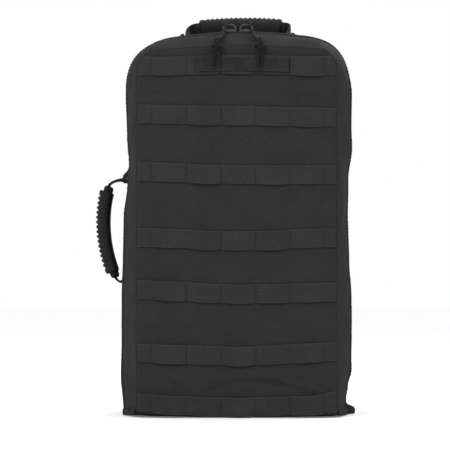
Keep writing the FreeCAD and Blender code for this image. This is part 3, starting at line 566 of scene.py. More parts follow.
def sheet_grid(name, points, uvs, material, body, replaces=(), *, out, thick, inner=None):
    """A grid of points as cloth that faces out and has a thickness; inner is its back face's own material."""
    n, m = len(points), len(points[0])
    verts = [p for row in points for p in row]
    flat = [uv for row in uvs for uv in row]
    obj = piece(name, verts, grid_faces(n, m), material, body, replaces, flat)
    solidify = obj.modifiers.new("thickness", "SOLIDIFY")
    solidify.thickness, solidify.offset = thick, -1
    if inner:
        obj.data.materials.append(look(inner))
        solidify.material_offset = 1
        solidify.material_offset_rim = 0
    mesh = obj.data
    mesh.update()
    if mesh.polygons[len(mesh.polygons) // 2].normal.dot(Vector(out)) < 0:
        mesh.flip_normals()
    return obj


def ribbon(name, path, across, out, wide, thick, material, body, replaces=()):
    """A strap along path. across and out are its width and thickness directions at each point.

    wide and thick may be numbers or lists. The path lies on the strap's inner face.
    """
    n = len(path)
    wides = wide if isinstance(wide, list) else [wide] * n
    thicks = thick if isinstance(thick, list) else [thick] * n
    columns = (-0.5, -0.46, -0.3, -0.1, 0.1, 0.3, 0.46, 0.5)
    verts, uvs, run = [], [], 0.0
    for i, p in enumerate(path):
        run += (path[i] - path[i - 1]).length if i else 0
        a, o, w, h = across[i].normalized(), out[i].normalized(), wides[i], thicks[i]
        for c in columns:
            crown = 1.0 if abs(c) < 0.45 else (0.92 if abs(c) < 0.48 else 0.6)
            verts.append(p + a * (w * c) + o * (h * crown))
            uvs.append((run, (c + 0.5) * w))
        for c in columns[::-1]:
            drop = 0.0 if abs(c) < 0.48 else 0.35
            verts.append(p + a * (w * c) + o * (h * drop))
            uvs.append((run, (c + 0.5) * w))
    faces = capped_faces(n, 2 * len(columns))
    return closed_out(piece(name, verts, faces, material, body, replaces, uvs))


def tube_mesh(points, radius, sides, closed=False):
    """Vertices and faces of a round tube through points, without twist."""
    pts = [Vector(p) for p in points]
    n = len(pts)
    verts, side = [], None
    for i, p in enumerate(pts):
        if closed:
            along = pts[(i + 1) % n] - pts[i - 1]
        else:
            along = pts[min(i + 1, n - 1)] - pts[max(i - 1, 0)]
        along.normalize()
        side = along.orthogonal() if side is None else side - along * side.dot(along)
        side.normalize()
        up = along.cross(side)
        r = radius[i] if isinstance(radius, list) else radius
        verts += [
            p + (side * math.cos(a) + up * math.sin(a)) * r for a in (2 * math.pi * k / sides for k in range(sides))
        ]
    if not closed:
        return verts, capped_faces(n, sides)
    last = (n - 1) * sides
    joint = [(last + k, k, (k + 1) % sides, last + (k + 1) % sides) for k in range(sides)]
    return verts, grid_faces(n, sides, closed=True) + joint


class Heap:
    """Many small shapes gathered into one piece."""

    def __init__(self):
        self.verts, self.faces = [], []

    def add(self, verts, faces):
        start = len(self.verts)
        self.verts += list(verts)
        self.faces += [tuple(start + i for i in f) for f in faces]

    def stick(self, a, b, out, wide, high):
        """A small rounded bar from a to b, flat side down, on a surface whose outward direction is out."""
        along = (b - a).normalized()
        side = along.cross(out).normalized() * (wide / 2)
        ring = []
        for p, k in ((a, 0.5), (a + along * wide * 0.5, 1), (b - along * wide * 0.5, 1), (b, 0.5)):
            ring += [
                p - side * k, p - side * 0.6 * k + out * high * k, p + side * 0.6 * k + out * high * k, p + side * k
            ]
        faces = [(i * 4 + j, i * 4 + j + 1, i * 4 + j + 5, i * 4 + j + 4) for i in range(3) for j in range(3)]
        self.add(ring, faces + [(0, 1, 2, 3), (12, 15, 14, 13)])

    def finish(self, name, material, body, slot, replaces=()):
        return piece(name, self.verts, self.faces, material, body, replaces)


def stitch_line(heap, path, out, long=3.2 * MM, gap=1.2 * MM, wide=0.8 * MM):
    """Stitches along a path; out is the surface's outward direction at each path point."""
    reach = 0.0
    for (p, q), o in zip(zip(path, path[1:]), out):
        length = (q - p).length
        along = (q - p).normalized() if length > 1e-9 else Vector((1, 0, 0))
        at = -reach
        while at + long + gap < length:
            start = max(at, 0)
            heap.stick(p + along * start, p + along * (at + long), o, wide, 0.45 * MM)
            at += long + gap
        reach = length - at if at < length else 0
        reach = min(max(reach, 0), long + gap)


def stitch_round(heap, corners, out, step, *sizes, closed=True):
    """Stitches along straight lines from corner to corner."""
    for p, q in zip(corners, corners[1:] + corners[:1] if closed else corners[1:]):
        n = max(1, round((q - p).length / step))
        stitch_line(heap, [p + (q - p) * (k / n) for k in range(n + 1)], [out] * n, *sizes)


def dress(node, material, bevel=0.0, segments=2):
    """A CAD node that stays: its material, and its edges rounded."""
    obj = frame["nodes"][node]
    obj.data.materials.clear()
    obj.data.materials.append(look(material))
    for polygon in obj.data.polygons:
        polygon.material_index = 0
    if bevel:
        soft = obj.modifiers.new("edges", "BEVEL")
        soft.width, soft.segments, soft.limit_method, soft.angle_limit = bevel, segments, "ANGLE", math.radians(40)


# ---------------------------------------------------------------- camera and cords


# A long lens, a little to the left of the pack's middle and below it, aimed slightly up.
LENS, VIEW_X, VIEW_FAR, VIEW_HIGH, AIM_HIGH = 170.6, -0.018, 3.0, 0.18, 0.262


def make_camera():
    data = bpy.data.cameras.new("camera")
    data.lens, data.sensor_width = LENS, 36
    camera = bpy.data.objects.new("camera", data)
    camera.location = (VIEW_X, -VIEW_FAR, VIEW_HIGH)
    aim = Vector((VIEW_X, FRONT_Y, AIM_HIGH))
    camera.rotation_euler = (aim - camera.location).to_track_quat("-Z", "Y").to_euler()
    scene.collection.objects.link(camera)
    scene.camera = camera


make_camera()

CORD = 0.0034
# The right-hand pull cord, in mm: up its outer tail, through the knot, over the front edge, round the
# slider's bow and home beside itself.
PULL_ROUTE = (
    (31.0, -107.4, 474.5),
    (32.2, -107.8, 484.5),
    (31.6, -107.3, 496.5),
    (31.9, -107.2, 512.0),
    (30.6, -101.6, 517.0),
    (27.6, -88.5, 518.0),
    (23.9, -66.5, 526.0),
    (19.6, -47.0, 536.0),
    (16.4, -34.0, 540.6),
    (15.2, -25.4, 540.2),
    (15.6, -25.4, 548.1),
    (16.0, -34.0, 548.0),
    (16.8, -45.5, 541.5),
    (19.9, -64.0, 529.0),
    (23.4, -86.5, 519.6),
    (26.0, -101.4, 517.2),
    (27.4, -107.2, 512.2),
    (27.6, -107.3, 496.5),
    (27.0, -107.9, 484.0),
    (28.2, -107.4, 472.5),
)
LEFT_TAILS = {
    0: (-33.4, -107.4, 475.0),
    1: (-33.6, -107.8, 484.5),
    18: (-25.6, -107.9, 485.5),
    19: (-24.4, -107.4, 477.0),
}


def make_pull(side, name):
    route = [Vector((side * x, y, z)) for x, y, z in PULL_ROUTE]
    if side < 0:
        route = [Vector(LEFT_TAILS.get(i, p)) for i, p in enumerate(route)]
    route = [p * MM for p in route]
    data = bpy.data.curves.new(f"pull_cord_{name}", "CURVE")
    data.dimensions = "3D"
    spline = data.splines.new("NURBS")
    spline.points.add(len(route) - 1)
    for point, p in zip(spline.points, route):
        point.co = (*p, 1)
    spline.order_u, spline.use_endpoint_u, spline.resolution_u = 3, True, 10
    data.bevel_depth, data.bevel_resolution, data.use_fill_caps = CORD / 2, 4, True
    data.materials.append(look("cord_sheath"))
    cord = bpy.data.objects.new(f"pull_cord_{name}_line", data)
    scene.collection.objects.link(cord)
    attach(cord, f"pull_{name}")
    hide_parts(f"pull_cord_{name}")

    # The knot: an overhand knot drawn tight, so its strand runs as a trefoil round both strands of the cord.
    low, high = box(f"pull_knot_{name}")
    centre, half = (low + high) / 2, (high - low) / 2
    half = Vector((half.x * 1.22, half.y * 1.02, half.z * 1.28))
    thick = 0.0021
    strand = []
    for i in range(96):
        a = 2 * math.pi * i / 96
        p = Vector((math.sin(a) + 2 * math.sin(2 * a), -math.sin(3 * a) * 1.2, math.cos(a) - 2 * math.cos(2 * a)))
        strand.append(centre + Vector([p[k] * (half[k] - thick) / (3.0, 1.2, 3.0)[k] for k in range(3)]))
    verts, faces = tube_mesh(strand, thick, 10, closed=True)
    heap = Heap()
    heap.add(verts, faces)
    # The strand's core fills the middle of the knot.
    core = [centre + Vector((0, 0, half.z * (f - 0.5) * 1.1)) for f in (0, 0.25, 0.5, 0.75, 1)]
    heap.add(*tube_mesh(core, [0.003, 0.0046, 0.0048, 0.0046, 0.003], 12))
    knot = heap.finish(f"pull_knot_{name}_wraps", "cord_sheath", f"pull_{name}", "paracord", [f"pull_knot_{name}"])

    # Each tail is sealed with a flame: a hard dark bead.
    tips = Heap()
    for end, before in ((route[0], route[1]), (route[-1], route[-2])):
        away = (end - before).normalized()
        bead = [end + away * (d * MM) for d in (-1.6, -1.2, -0.4, 0.2, 0.7, 0.9)]
        tips.add(*tube_mesh(bead, [0.0017, 0.00185, 0.0019, 0.0017, 0.0011, 0.0003], 12))
    tip = tips.finish(f"pull_tips_{name}", "grip_rubber", f"pull_{name}", "paracord")
    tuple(route[0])


make_pull(1, "right")
make_pull(-1, "left")


# ---------------------------------------------------------------- the shell's cloth


def arch_cloth(name, depths, lift, thick, material, body, replaces=(), inner=None, steps=None):
    """Cloth that follows the gussets' outline over a range of depths."""
    steps = steps or arch_steps()
    points = [[side_point(t, y, lift) for y in depths] for t in steps]
    run, runs = 0.0, []
    for i, row in enumerate(points):
        run += (row[0] - points[i - 1][0]).length if i else 0
        runs.append(run)
    uvs = [[(runs[i], y) for y in depths] for i in range(len(points))]
    return sheet_grid(name, points, uvs, material, body, replaces, out=(0, 0, 1), thick=thick, inner=inner)


def outline_height(sizes, x):
    half, top, corner, arch = sizes
    centre = top - arch + math.sqrt((arch - corner) ** 2 - (half - corner) ** 2)
    over = abs(x) - (half - corner)
    by_arch = top - arch + math.sqrt(arch * arch - x * x)
    if over <= 0:
        return by_arch
    by_corner = centre + math.sqrt(max(corner * corner - over * over, 0))
    lean = math.atan2(centre - (top - arch), half - corner)
    return by_corner if math.atan2(by_corner - centre, over) < lean else by_arch


def panel(name, sizes, low, depth, columns, rows, out, material, body, replaces, thick, inner=None):
    """An arched panel that faces the front or the back. depth(x, z) gives its outer face."""
    points, uvs = [], []
    for i in range(rows + 1):
        line, marks = [], []
        for j in range(columns + 1):
            s = 2 * j / columns - 1
            x = sizes[0] * (0.55 * s + 0.45 * math.sin(math.pi / 2 * s))
            z = low + (outline_height(sizes, x) - low) * i / rows
            line.append(drifted(Vector((x, depth(x, z), z))))
            marks.append((x, z))
        points.append(line)
        uvs.append(marks)
    return sheet_grid(name, points, uvs, material, body, replaces, out=out, thick=thick, inner=inner)


def spaced(a, b, n):
    return [a + (b - a) * i / n for i in range(n + 1)]


def edge_run(sizes, y, base, by=0.0):
    """Points along an arched outline, drawn in by some distance, with their outward directions."""
    points, outs = [], []
    for t in arch_steps():
        flat, normal = outline(inset(sizes, by), t, base)
        points.append(drifted(Vector((flat.x, y, flat.y))))
        outs.append(Vector((normal.x, 0, normal.y)))
    return points, outs


def make_shell():
    cloth, lining = "shell_cloth", "lining_cloth"
    panel(
        "front_cloth", FRONT, FRONT_LOW.z, front_y, 110, 190, (0, -1, 0), cloth, "door",
        ["front_panel"], WALL, lining,
    )
    arch_cloth(
        "front_gusset_cloth", spaced(DOOR_LOW.y, DOOR_HIGH.y, 18), 0, WALL, cloth, "door",
        ["front_gusset"], lining,
    )
    arch_cloth(
        "rear_gusset_cloth", spaced(REAR_LOW.y, REAR_HIGH.y, 30), 0, WALL, cloth, "shell",
        ["rear_gusset"], lining,
    )

    def back_y(x, z):
        d = min(edge_distance(BACK, x, z), z - BACK_LOW.z + 2 * MM)
        return BACK_HIGH.y - rolled(d, 6 * MM, 5 * MM) - 0.3 * MM + puff((x, 1, z), 0.05, 0.3 * MM)

    panel(
        "back_cloth", BACK, BACK_LOW.z, back_y, 70, 90, (0, 1, 0), cloth, "shell", ["back_panel"],
        0.005, lining,
    )

    # The seam where the front panel meets its gusset, and the one round the back: a corded edge.
    for name, sizes, y, base, body in (
        ("front_seam", FRONT, FRONT_LOW.y + 3.2 * MM, FRONT_LOW.z, "door"),
        ("back_seam", BACK, BACK_LOW.y + 0.4 * MM, BACK_LOW.z, "shell"),
    ):
        points, _ = edge_run(sizes, y, base + 1.5 * MM, 0.7 * MM)
        heap = Heap()
        heap.add(*tube_mesh(points, 1.25 * MM, 8))
        heap.finish(name, "binding", body, "shell_fabric")

    # The folded edge of the gusset cloth along the zip, and two rows of stitches in it.
    steps = arch_steps(*FINE)
    threads = {"door": Heap(), "shell": Heap()}
    for name, near, far, body in (
        ("zip_welt_front", DOOR_HIGH.y - 8.5 * MM, DOOR_HIGH.y + 0.6 * MM, "door"),
        ("zip_welt_rear", REAR_LOW.y - 0.6 * MM, REAR_LOW.y + 8.5 * MM, "shell"),
    ):
        obj = arch_cloth(name, spaced(near, far, 4), 0.9 * MM, 1.2 * MM, cloth, body, steps=steps)
        edge = obj.modifiers.new("edges", "BEVEL")
        edge.width, edge.segments = 0.5 * MM, 2
        for y in (near + 2 * MM, far - 2 * MM):
            stitch_line(threads[body], [side_point(t, y, 0.95 * MM) for t in steps], arch_outs(ZIP, steps))
    # Top stitching inside the front panel's edge and beside the gusset's seams.
    for body, y in (("door", FRONT_LOW.y + 9 * MM), ("shell", BACK_LOW.y - 5 * MM)):
        stitch_line(threads[body], [side_point(t, y, 0.05 * MM) for t in steps], arch_outs(FRONT, steps))
    for body, heap in threads.items():
        heap.finish(f"{body}_stitches", "thread", body, "shell_fabric")


def make_zip():
    for node, body in (("zip_tape_front", "door"), ("zip_tape_rear", "shell")):
        low, high = box(node)
        arch_cloth(
            f"{node}_cloth", spaced(low.y, high.y, 3), -0.8 * MM, 1.3 * MM, "tape_cloth", body, [node]
        )
    # The coils: every turn of the nylon wire shows as a small rounded bar across the tape's edge.
    steps = arch_steps(*FINE)
    pitch = 2.1 * MM
    for node, body, shift in (("zip_coil_front", "door", 0.0), ("zip_coil_rear", "shell", 0.5)):
        low, high = box(node)
        path = [side_point(t, (low.y + high.y) / 2, 0) for t in steps]
        outs = arch_outs(ZIP, steps)
        heap, at = Heap(), pitch * (0.5 + shift)
        heap.add(*tube_mesh([p - o * 0.35 * MM for p, o in zip(path, outs)], 0.75 * MM, 6))
        for p, q, o in zip(path, path[1:], outs):
            length = (q - p).length
            while at < length:
                c = p + (q - p) * (at / length) - o * 0.15 * MM
                half = Vector((0, (high.y - low.y) / 2 - 0.1 * MM, 0))
                slant = (q - p).normalized() * 0.25 * MM
                heap.stick(c - half - slant, c + half + slant, o, 1.25 * MM, 0.95 * MM)
                at += pitch
            at -= length
        heap.finish(f"{node}_turns", "coil_nylon", body, "zip_coil", [node])


def make_base():
    """The floor of the pack: a padded panel whose edges turn up to the gussets."""
    low, high = box("base_panel")

    def half_at(y):
        front, zip_half, rear = BASE_HALF
        if y < DOOR_HIGH.y:
            return front + (zip_half - front) * (y - low.y) / (DOOR_HIGH.y - low.y)
        return zip_half + (rear - zip_half) * max(y - REAR_LOW.y, 0) / (high.y - REAR_LOW.y)

    n, m = 60, 40
    points, uvs = [], []
    for i in range(n + 1):
        line, marks = [], []
        for j in range(m + 1):
            y = low.y + (high.y - low.y) * j / m
            half = half_at(y)
            x = half * (2 * i / n - 1)
            d = min(half - abs(x), y - low.y, high.y - y)
            lift = rolled(d, 7 * MM, 4.5 * MM) + (0.4 * MM + puff((x, y, 0), 0.04, 0.35 * MM)) * smooth(0, 0.02, d)
            edge = 1 - smooth(0, 0.03, d)
            across, up = drift(x, y, low.z + lift)
            line.append(Vector((x + across * edge, y, low.z + lift + up * edge)))
            marks.append((x, y))
        points.append(line)
        uvs.append(marks)
    sheet_grid(
        "base_cloth", points, uvs, "shell_cloth", "shell", ["base_panel"],
        out=(0, 0, -1), thick=0.8 * MM, inner="lining_cloth",
    )
    inner = [[p + Vector((0, 0, 4.2 * MM)) for p in line[2:-2]] for line in points[2:-2]]
    inner_uvs = [u[2:-2] for u in uvs[2:-2]]
    sheet_grid("base_lining", inner, inner_uvs, "lining_cloth", "shell", out=(0, 0, 1), thick=0.8 * MM)
    # A hem turned up over the foot of the front gusset on each side.
    for side, name in SIDES:
        path = []
        for y in spaced(low.y + 1.5 * MM, DOOR_HIGH.y - 1 * MM, 30):
            half = half_at(y)
            across, up = drift(side * half, y, 0.004)
            path.append(Vector((side * (half + 2.2 * MM) + across, y, 4.6 * MM + up)))
        out = Vector((side * 0.965, -0.262, 0))
        ribbon(
            f"base_hem_{name}", path, [Vector((0, 0, 1))] * len(path), [out] * len(path), 8.6 * MM, 1.3 * MM,
            "shell_cloth", "shell",
        )
    dress("drain_grommets", "black_enamel", 0.0003)


def make_zip_ends():
    """At each foot of the zip its end is folded into a stiff lobe that flares out from the corner."""
    # Where the lobe is sewn in, how far out its upper end is tucked, and where the wall is.
    root, tucked, wall = 0.143, 0.1505, 0.1565
    heap = Heap()
    for side, name, low, flare in ((-1, "left", 1.5, 3.5), (1, "right", 0.0, 7.0)):
        points, uvs = [], []
        for f in spaced(0, 1, 14):
            reach = wall + flare * MM * math.sqrt(max(1 - (2.2 * f - 0.55) ** 2, 0)) * (1 if f < 0.7 else 0)
            reach = tucked + (reach - tucked) * (1 - smooth(0.45, 1.0, f))
            line = []
            for g in spaced(0, 1, 10):
                x = root + (reach - root) * g
                y = -0.026 + 0.006 * g - 2.5 * MM * math.sin(math.pi * g)
                z = low + 19.5 * f
                line.append(Vector((side * x, y, (z + 1.2 * g * (1 - f)) * MM)))
            points.append(line)
            uvs.append([(0.02 * g, 0.02 * f) for g in spaced(0, 1, 10)])
        out = (side * 0.4, -1, 0)
        sheet_grid(f"zip_end_{name}", points, uvs, "shell_cloth", "shell", out=out, thick=2.2 * MM)
        path = [points[i][8] + Vector((side * 0.1, -0.25, 0)) * MM for i in range(1, 12)]
        stitch_line(heap, path, [Vector(out).normalized()] * 10)
    heap.finish("zip_end_stitches", "thread", "shell", "webbing")


# ---------------------------------------------------------------- front webbing

ROWS = (
    (468.5, (-1.7, 0.7, -2.7)),
    (401.0, (0.2, -2.2, -4.5)),
    (319.0, (3.4, -0.6, -0.7)),
    (228.0, (5.0, 0.3, 4.4)),
    (157.0, (4.9, -0.8, 1.5)),
    (72.5, (3.3, -0.6, 5.2)),
    (4.5, (1.2, -1.6, 1.2)),
)


def row_low(i, x):
    """Height of a row's lower edge: it wanders a few mm across the front."""
    low, (left, middle, right) = ROWS[i]
    end = right if x > 0 else left
    return (low + middle + (end - middle) * smooth(0, 1, abs(x) / 0.135)) * MM


def row_lift(i, x):
    """How far a row stands off the panel: it is tacked down in columns and slack between them."""
    places = [-ROW_END, *TACKS, ROW_END]
    for k, (a, b) in enumerate(zip(places, places[1:])):
        if a <= x <= b:
            slack = (1.5 + 0.6 * math.sin(7.3 * i + 2.9 * k)) * MM * (1.5 if i == 6 else 1.0)
            return 0.25 * MM + slack * min(1, (b - a) / 0.04) * math.sin(math.pi * (x - a) / (b - a)) ** 0.55
    return 0.25 * MM


def row_x(x, z):
    """The rows stop at the seam, which curves in at the top corners."""
    half = FRONT[0] - 1.2 * MM
    rise = z - (outline(FRONT, 1, 0)[0].y)
    if rise > 0:
        half = FRONT[0] - FRONT[2] + math.sqrt(max(FRONT[2] ** 2 - rise**2, 0)) - 1.5 * MM
    return max(-half, min(half, x))


def row_point(i, x, up, lift):
    z = row_low(i, x) + up * WEB
    if i == 6:
        z += 4.5 * MM * up * smooth(0.095, 0.134, x)
    x = row_x(x, z)
    slack = max(lift - 0.3 * MM, 0)
    hang = (0.55 * slack if up < 0.5 else 0.25 * slack) * abs(2 * up - 1)
    return drifted(Vector((x, front_y(x, z) - lift, z - hang)))


def make_rows():
    tacks, columns = Heap(), (0.0, 0.03, 0.1, 0.3, 0.5, 0.7, 0.9, 0.97, 1.0)
    thick = WEB_THICK
    for i in range(len(ROWS)):
        xs = spaced(0.4 * MM - ROW_END, ROW_END - 0.4 * MM, 150)
        verts, uvs = [], []
        for x in xs:
            lift = row_lift(i, x)
            pinch = 1 - 0.25 * max(0, 1 - min(abs(x - t) for t in TACKS) / (3 * MM))
            for c in columns:
                edge = 0.55 if c in (0.0, 1.0) else (0.9 if c in (0.03, 0.97) else 1.0)
                curl = 0.5 * MM * (2 * c - 1) ** 2 * (lift / (1.5 * MM))
                verts.append(row_point(i, x, c, lift + curl + thick * edge * pinch))
                uvs.append((x + i * 0.31, c * WEB))
            for c in columns[::-1]:
                edge = 0.25 if c in (0.0, 1.0) else 0.0
                curl = 0.5 * MM * (2 * c - 1) ** 2 * (lift / (1.5 * MM))
                verts.append(row_point(i, x, c, lift + curl - 0.05 * MM + thick * edge))
                uvs.append((x + i * 0.31, c * WEB))
        faces, node = capped_faces(len(xs), 2 * len(columns)), f"webbing_row_{i + 1}"
        closed_out(piece(f"{node}_strap", verts, faces, "web_cloth", "door", [node], uvs))
        for t in TACKS:
            place = t + 0.7 * MM * math.sin(5.1 * i + 40 * t)
            for k in range(26):
                up = (k + 0.6) / 26.4
                jitter = 0.25 * MM * math.sin(k * 2.4 + i)
                a = row_point(i, place - 1.25 * MM + jitter, up, row_lift(i, place) + thick * 0.72)
                b = row_point(i, place + 1.25 * MM + jitter, up, row_lift(i, place) + thick * 0.72)
                tacks.stick(a, b, Vector((0, -1, 0)), 0.75 * MM, 0.5 * MM)
    tacks.finish("row_tacks", "tack_thread", "door", "webbing")


def make_name_tape():
    """A blank tape on the top row, sewn round its edge."""
    low, high = box("name_tape")

    def on_row(x, z, back):
        y = low.y + back - puff((x, 2, z), 0.03, 0.3 * MM)
        return Vector((x, y, z + row_low(0, x) - ROWS[0][0] * MM))

    xs, zs = spaced(low.x, high.x, 50), spaced(low.z, high.z, 8)
    points, uvs = [], []
    for z in zs:
        line = []
        for x in xs:
            d = min(high.x - x, x - low.x, z - low.z, high.z - z)
            line.append(on_row(x, z, rolled(d, 1.2 * MM, 0.8 * MM) - 1.2 * MM))
        points.append(line)
        uvs.append([(x, z) for x in xs])
    heap, out = Heap(), Vector((0, -1, 0))
    sheet_grid(
        "name_tape_face", points, uvs, "hook_tape", "door", ["name_tape"], out=out, thick=1.4 * MM
    )
    border = 1.8 * MM
    left, right, bottom, top = low.x + border, high.x - border, low.z + border, high.z - border
    corners = [(left, bottom), (right, bottom), (right, top), (left, top)]
    for (x0, z0), (x1, z1) in zip(corners, corners[1:] + corners[:1]):
        n = max(2, round(math.hypot(x1 - x0, z1 - z0) / (4 * MM)))
        path = []
        for k in range(n + 1):
            x, z = x0 + (x1 - x0) * k / n, z0 + (z1 - z0) * k / n
            path.append(on_row(x, z, -1.25 * MM))
        stitch_line(heap, path, [out] * n, 2.2 * MM, 0.8 * MM, 0.7 * MM)
    heap.finish("name_tape_stitches", "edge_thread", "door", "hook_loop")


# ---------------------------------------------------------------- side fittings


def side_out(side):
    lean = math.atan2(ZIP[0] - BACK[0], REAR_HIGH.y - REAR_LOW.y)
    return Vector((side * math.cos(lean), math.sin(lean), 0))


def wall_point(side, y, z, lift):
    return side_point(wall_t(side, z, y), y, lift)


def box_stitch(heap, corner, u, v, out, wide, long):
    """A square of stitches with a cross in it. u and v are its unit directions."""
    a, b, c, d = corner, corner + u * wide, corner + u * wide + v * long, corner + v * long
    sizes = (out, 6 * MM, 2.4 * MM, 0.9 * MM, 0.7 * MM)
    stitch_round(heap, [a, b, c, d], *sizes)
    for p, q in ((a, c), (b, d)):
        stitch_round(heap, [p, q], *sizes, closed=False)


def bar_tack(heap, centre, along, across, out, long):
    """Dense zigzag stitches: a bar long in one direction, its stitches lying across it."""
    n, wide = round(long / (0.95 * MM)), 2.4 * MM
    for k in range(n):
        c = centre + along * ((k + 0.5) / n - 0.5) * long
        heap.stick(c - across * wide / 2, c + across * wide / 2, out, 0.75 * MM, 0.5 * MM)


def make_side_webbing():
    heap, first = Heap(), True
    near, far = (corner.y for corner in box("side_webbing"))
    for (side, name), rows in zip(SIDES, ((62, 106, 440), (62, 140, 218, 296, 440))):
        out = side_out(side)
        for row in rows:
            low = row * MM
            tacks = spaced(near, far, 2)
            ys = spaced(near, far, 56)
            path, lifts = [], []
            for y in ys:
                k = min(int((y - near) / (far - near) * 2), 1)
                f = (y - tacks[k]) / (tacks[k + 1] - tacks[k])
                lifts.append(0.3 * MM + 1.3 * MM * max(math.sin(math.pi * f), 0) ** 0.7)
                z = low + WEB / 2 + puff((side, y, low), 0.04, 1.2 * MM)
                path.append(wall_point(side, y, z, lifts[-1]))
            ribbon(
                f"side_strip_{name}_{row}", path, [Vector((0, 0, 1))] * len(path), [out] * len(path),
                WEB, WEB_THICK, "web_cloth", "shell", ["side_webbing"] if first else (),
            )
            first = False
            for t in (0, 28, 56):
                inward = Vector((0, (1.8 if t == 0 else -1.8 if t == 56 else 0) * MM, 0))
                bar_tack(
                    heap, path[t] + inward + out * 1.35 * MM, Vector((0, 0, 1)), Vector((0, 1, 0)), out,
                    WEB - 1.5 * MM,
                )
    heap.finish("side_strip_tacks", "thread", "shell", "webbing")


def make_rings():
    heap = Heap()
    for side, name in SIDES:
        ring = box(f"d_ring_{name}")
        centre = Vector(((ring[0].x + ring[1].x) / 2, *RING))
        out = side_out(side)
        wall = wall_point(side, centre.y, centre.z, 0).x
        near = abs(centre.x) - abs(wall) - 0.2 * MM
        bar, turns = 2.8 * MM, 18
        path = [centre - out * near + Vector((0, 0, z * MM)) for z in (28, 24, 19, 14, 9, 5)]
        for k in range(turns + 1):
            a = math.pi + (1.5 * math.pi) * k / turns
            path.append(centre + out * bar * math.cos(a) + Vector((0, 0, bar * math.sin(a))))
        path += [centre - out * (near - 1.6 * MM) + Vector((0, 0, z * MM)) for z in (5.5, 9, 14, 19, 23)]
        outs = []
        for i in range(len(path)):
            along = heading(path, i)
            outs.append(along.cross(Vector((0, 1, 0))) * (1 if side > 0 else -1))
        # The strap's outer face looks away from the ring's bar.
        flip = -1 if outs[6 + turns // 2].dot(path[6 + turns // 2] - centre) < 0 else 1
        outs = [o * flip for o in outs]
        ribbon(
            f"ring_tab_{name}", path, [Vector((0, 1, 0))] * len(path), outs, 23 * MM, 1.3 * MM,
            "dark_web", "shell", ["d_ring_tabs"] if side < 0 else (),
        )
        face = centre - out * (near - 3.1 * MM)
        bar_tack(heap, face + Vector((0, 0, 8 * MM)), Vector((0, 1, 0)), Vector((0, 0, 1)), out, 20 * MM)
        box_stitch(
            heap, face + Vector((0, -9 * MM, 12 * MM)), Vector((0, 1, 0)), Vector((0, 0, 1)), out, 18 * MM, 10 * MM
        )
        dress(f"d_ring_{name}", "black_enamel")
    heap.finish("ring_tab_stitches", "thread", "shell", "webbing")


# ---------------------------------------------------------------- carrying handles

GRIP_HALF, GRIP_ARC, GRIP_HEIGHT, FOOT, FOOT_ROUND = (a * MM for a in (58, 190, 38, 6.5, 4.2))


def make_grip(name, at):
    """A moulded grip: smooth where the palm closes on it, ribbed outside, a plain collar at each end."""
    around, stations = 36, 220
    verts = []
    for i in range(stations + 1):
        s = GRIP_HALF * (2 * i / stations - 1)
        end = smooth(GRIP_HALF - 2.5 * MM, GRIP_HALF, abs(s))
        ribbed_here = smooth(GRIP_HALF - 6 * MM, GRIP_HALF - 9 * MM, abs(s))
        wave = 0.5 + 0.5 * math.cos(2 * math.pi * s / (6.6 * MM))
        rib = 2.8 * MM * (wave**0.6) * ribbed_here
        collar = 0.8 * MM * smooth(GRIP_HALF - 7 * MM, GRIP_HALF - 5 * MM, abs(s))
        angle = s / GRIP_ARC
        for k in range(around):
            a = 2 * math.pi * k / around
            c, r = math.cos(a), math.sin(a)
            across = (15 * MM - 1.2 * MM * end) * math.copysign(abs(c) ** (0.55 if r > 0 else 0.8), c)
            rise = (9.5 * MM - 1.2 * MM * end) * math.copysign(abs(r) ** (0.6 if r > 0 else 0.8), r)
            out = smooth(-0.35, 0.25, r)
            rise += (rib - 1.6 * MM * ribbed_here + collar) * out * max(r, 0) ** 0.3
            across += math.copysign((0.6 * rib - 0.5 * MM * ribbed_here + collar) * out * abs(c) ** 0.5, c)
            radius = GRIP_ARC + rise
            verts.append(at(radius * math.sin(angle), GRIP_HEIGHT - GRIP_ARC + radius * math.cos(angle), across))
    faces = capped_faces(stations + 1, around)
    closed_out(piece(f"{name}_grip_moulding", verts, faces, "grip_rubber", name, [f"{name}_grip"]))


def make_strap_roll(name, at, y, size):
    """Where the strap leaves each end of a grip it is folded double into a short flat roll."""
    around = 24
    for side in (-1, 1):
        verts = []
        stations = (
            (52, 9.5, 4.0), (58, 10.5, 4.6), (61, 11.0, 4.8), (64, 10.8, 4.6), (66, 9.6, 3.6), (66.8, 7.0, 1.8)
        )
        for s, wide, thick in stations:
            angle = s * MM / GRIP_ARC
            for k in range(around):
                a = 2 * math.pi * k / around * side
                c, r = math.cos(a), math.sin(a)
                radius = GRIP_ARC + size * thick * MM * math.copysign(abs(r) ** 0.7, r) - 0.8 * MM
                place = at(side * radius * math.sin(angle), GRIP_HEIGHT - GRIP_ARC + radius * math.cos(angle))
                verts.append(place + y * wide * MM * math.copysign(abs(c) ** 0.6, c))
        faces, end = capped_faces(len(stations), around), "a" if side < 0 else "b"
        roll = piece(f"{name}_strap_roll_{end}", verts, faces, "dark_web", name)
        smoothed(closed_out(roll), 1)


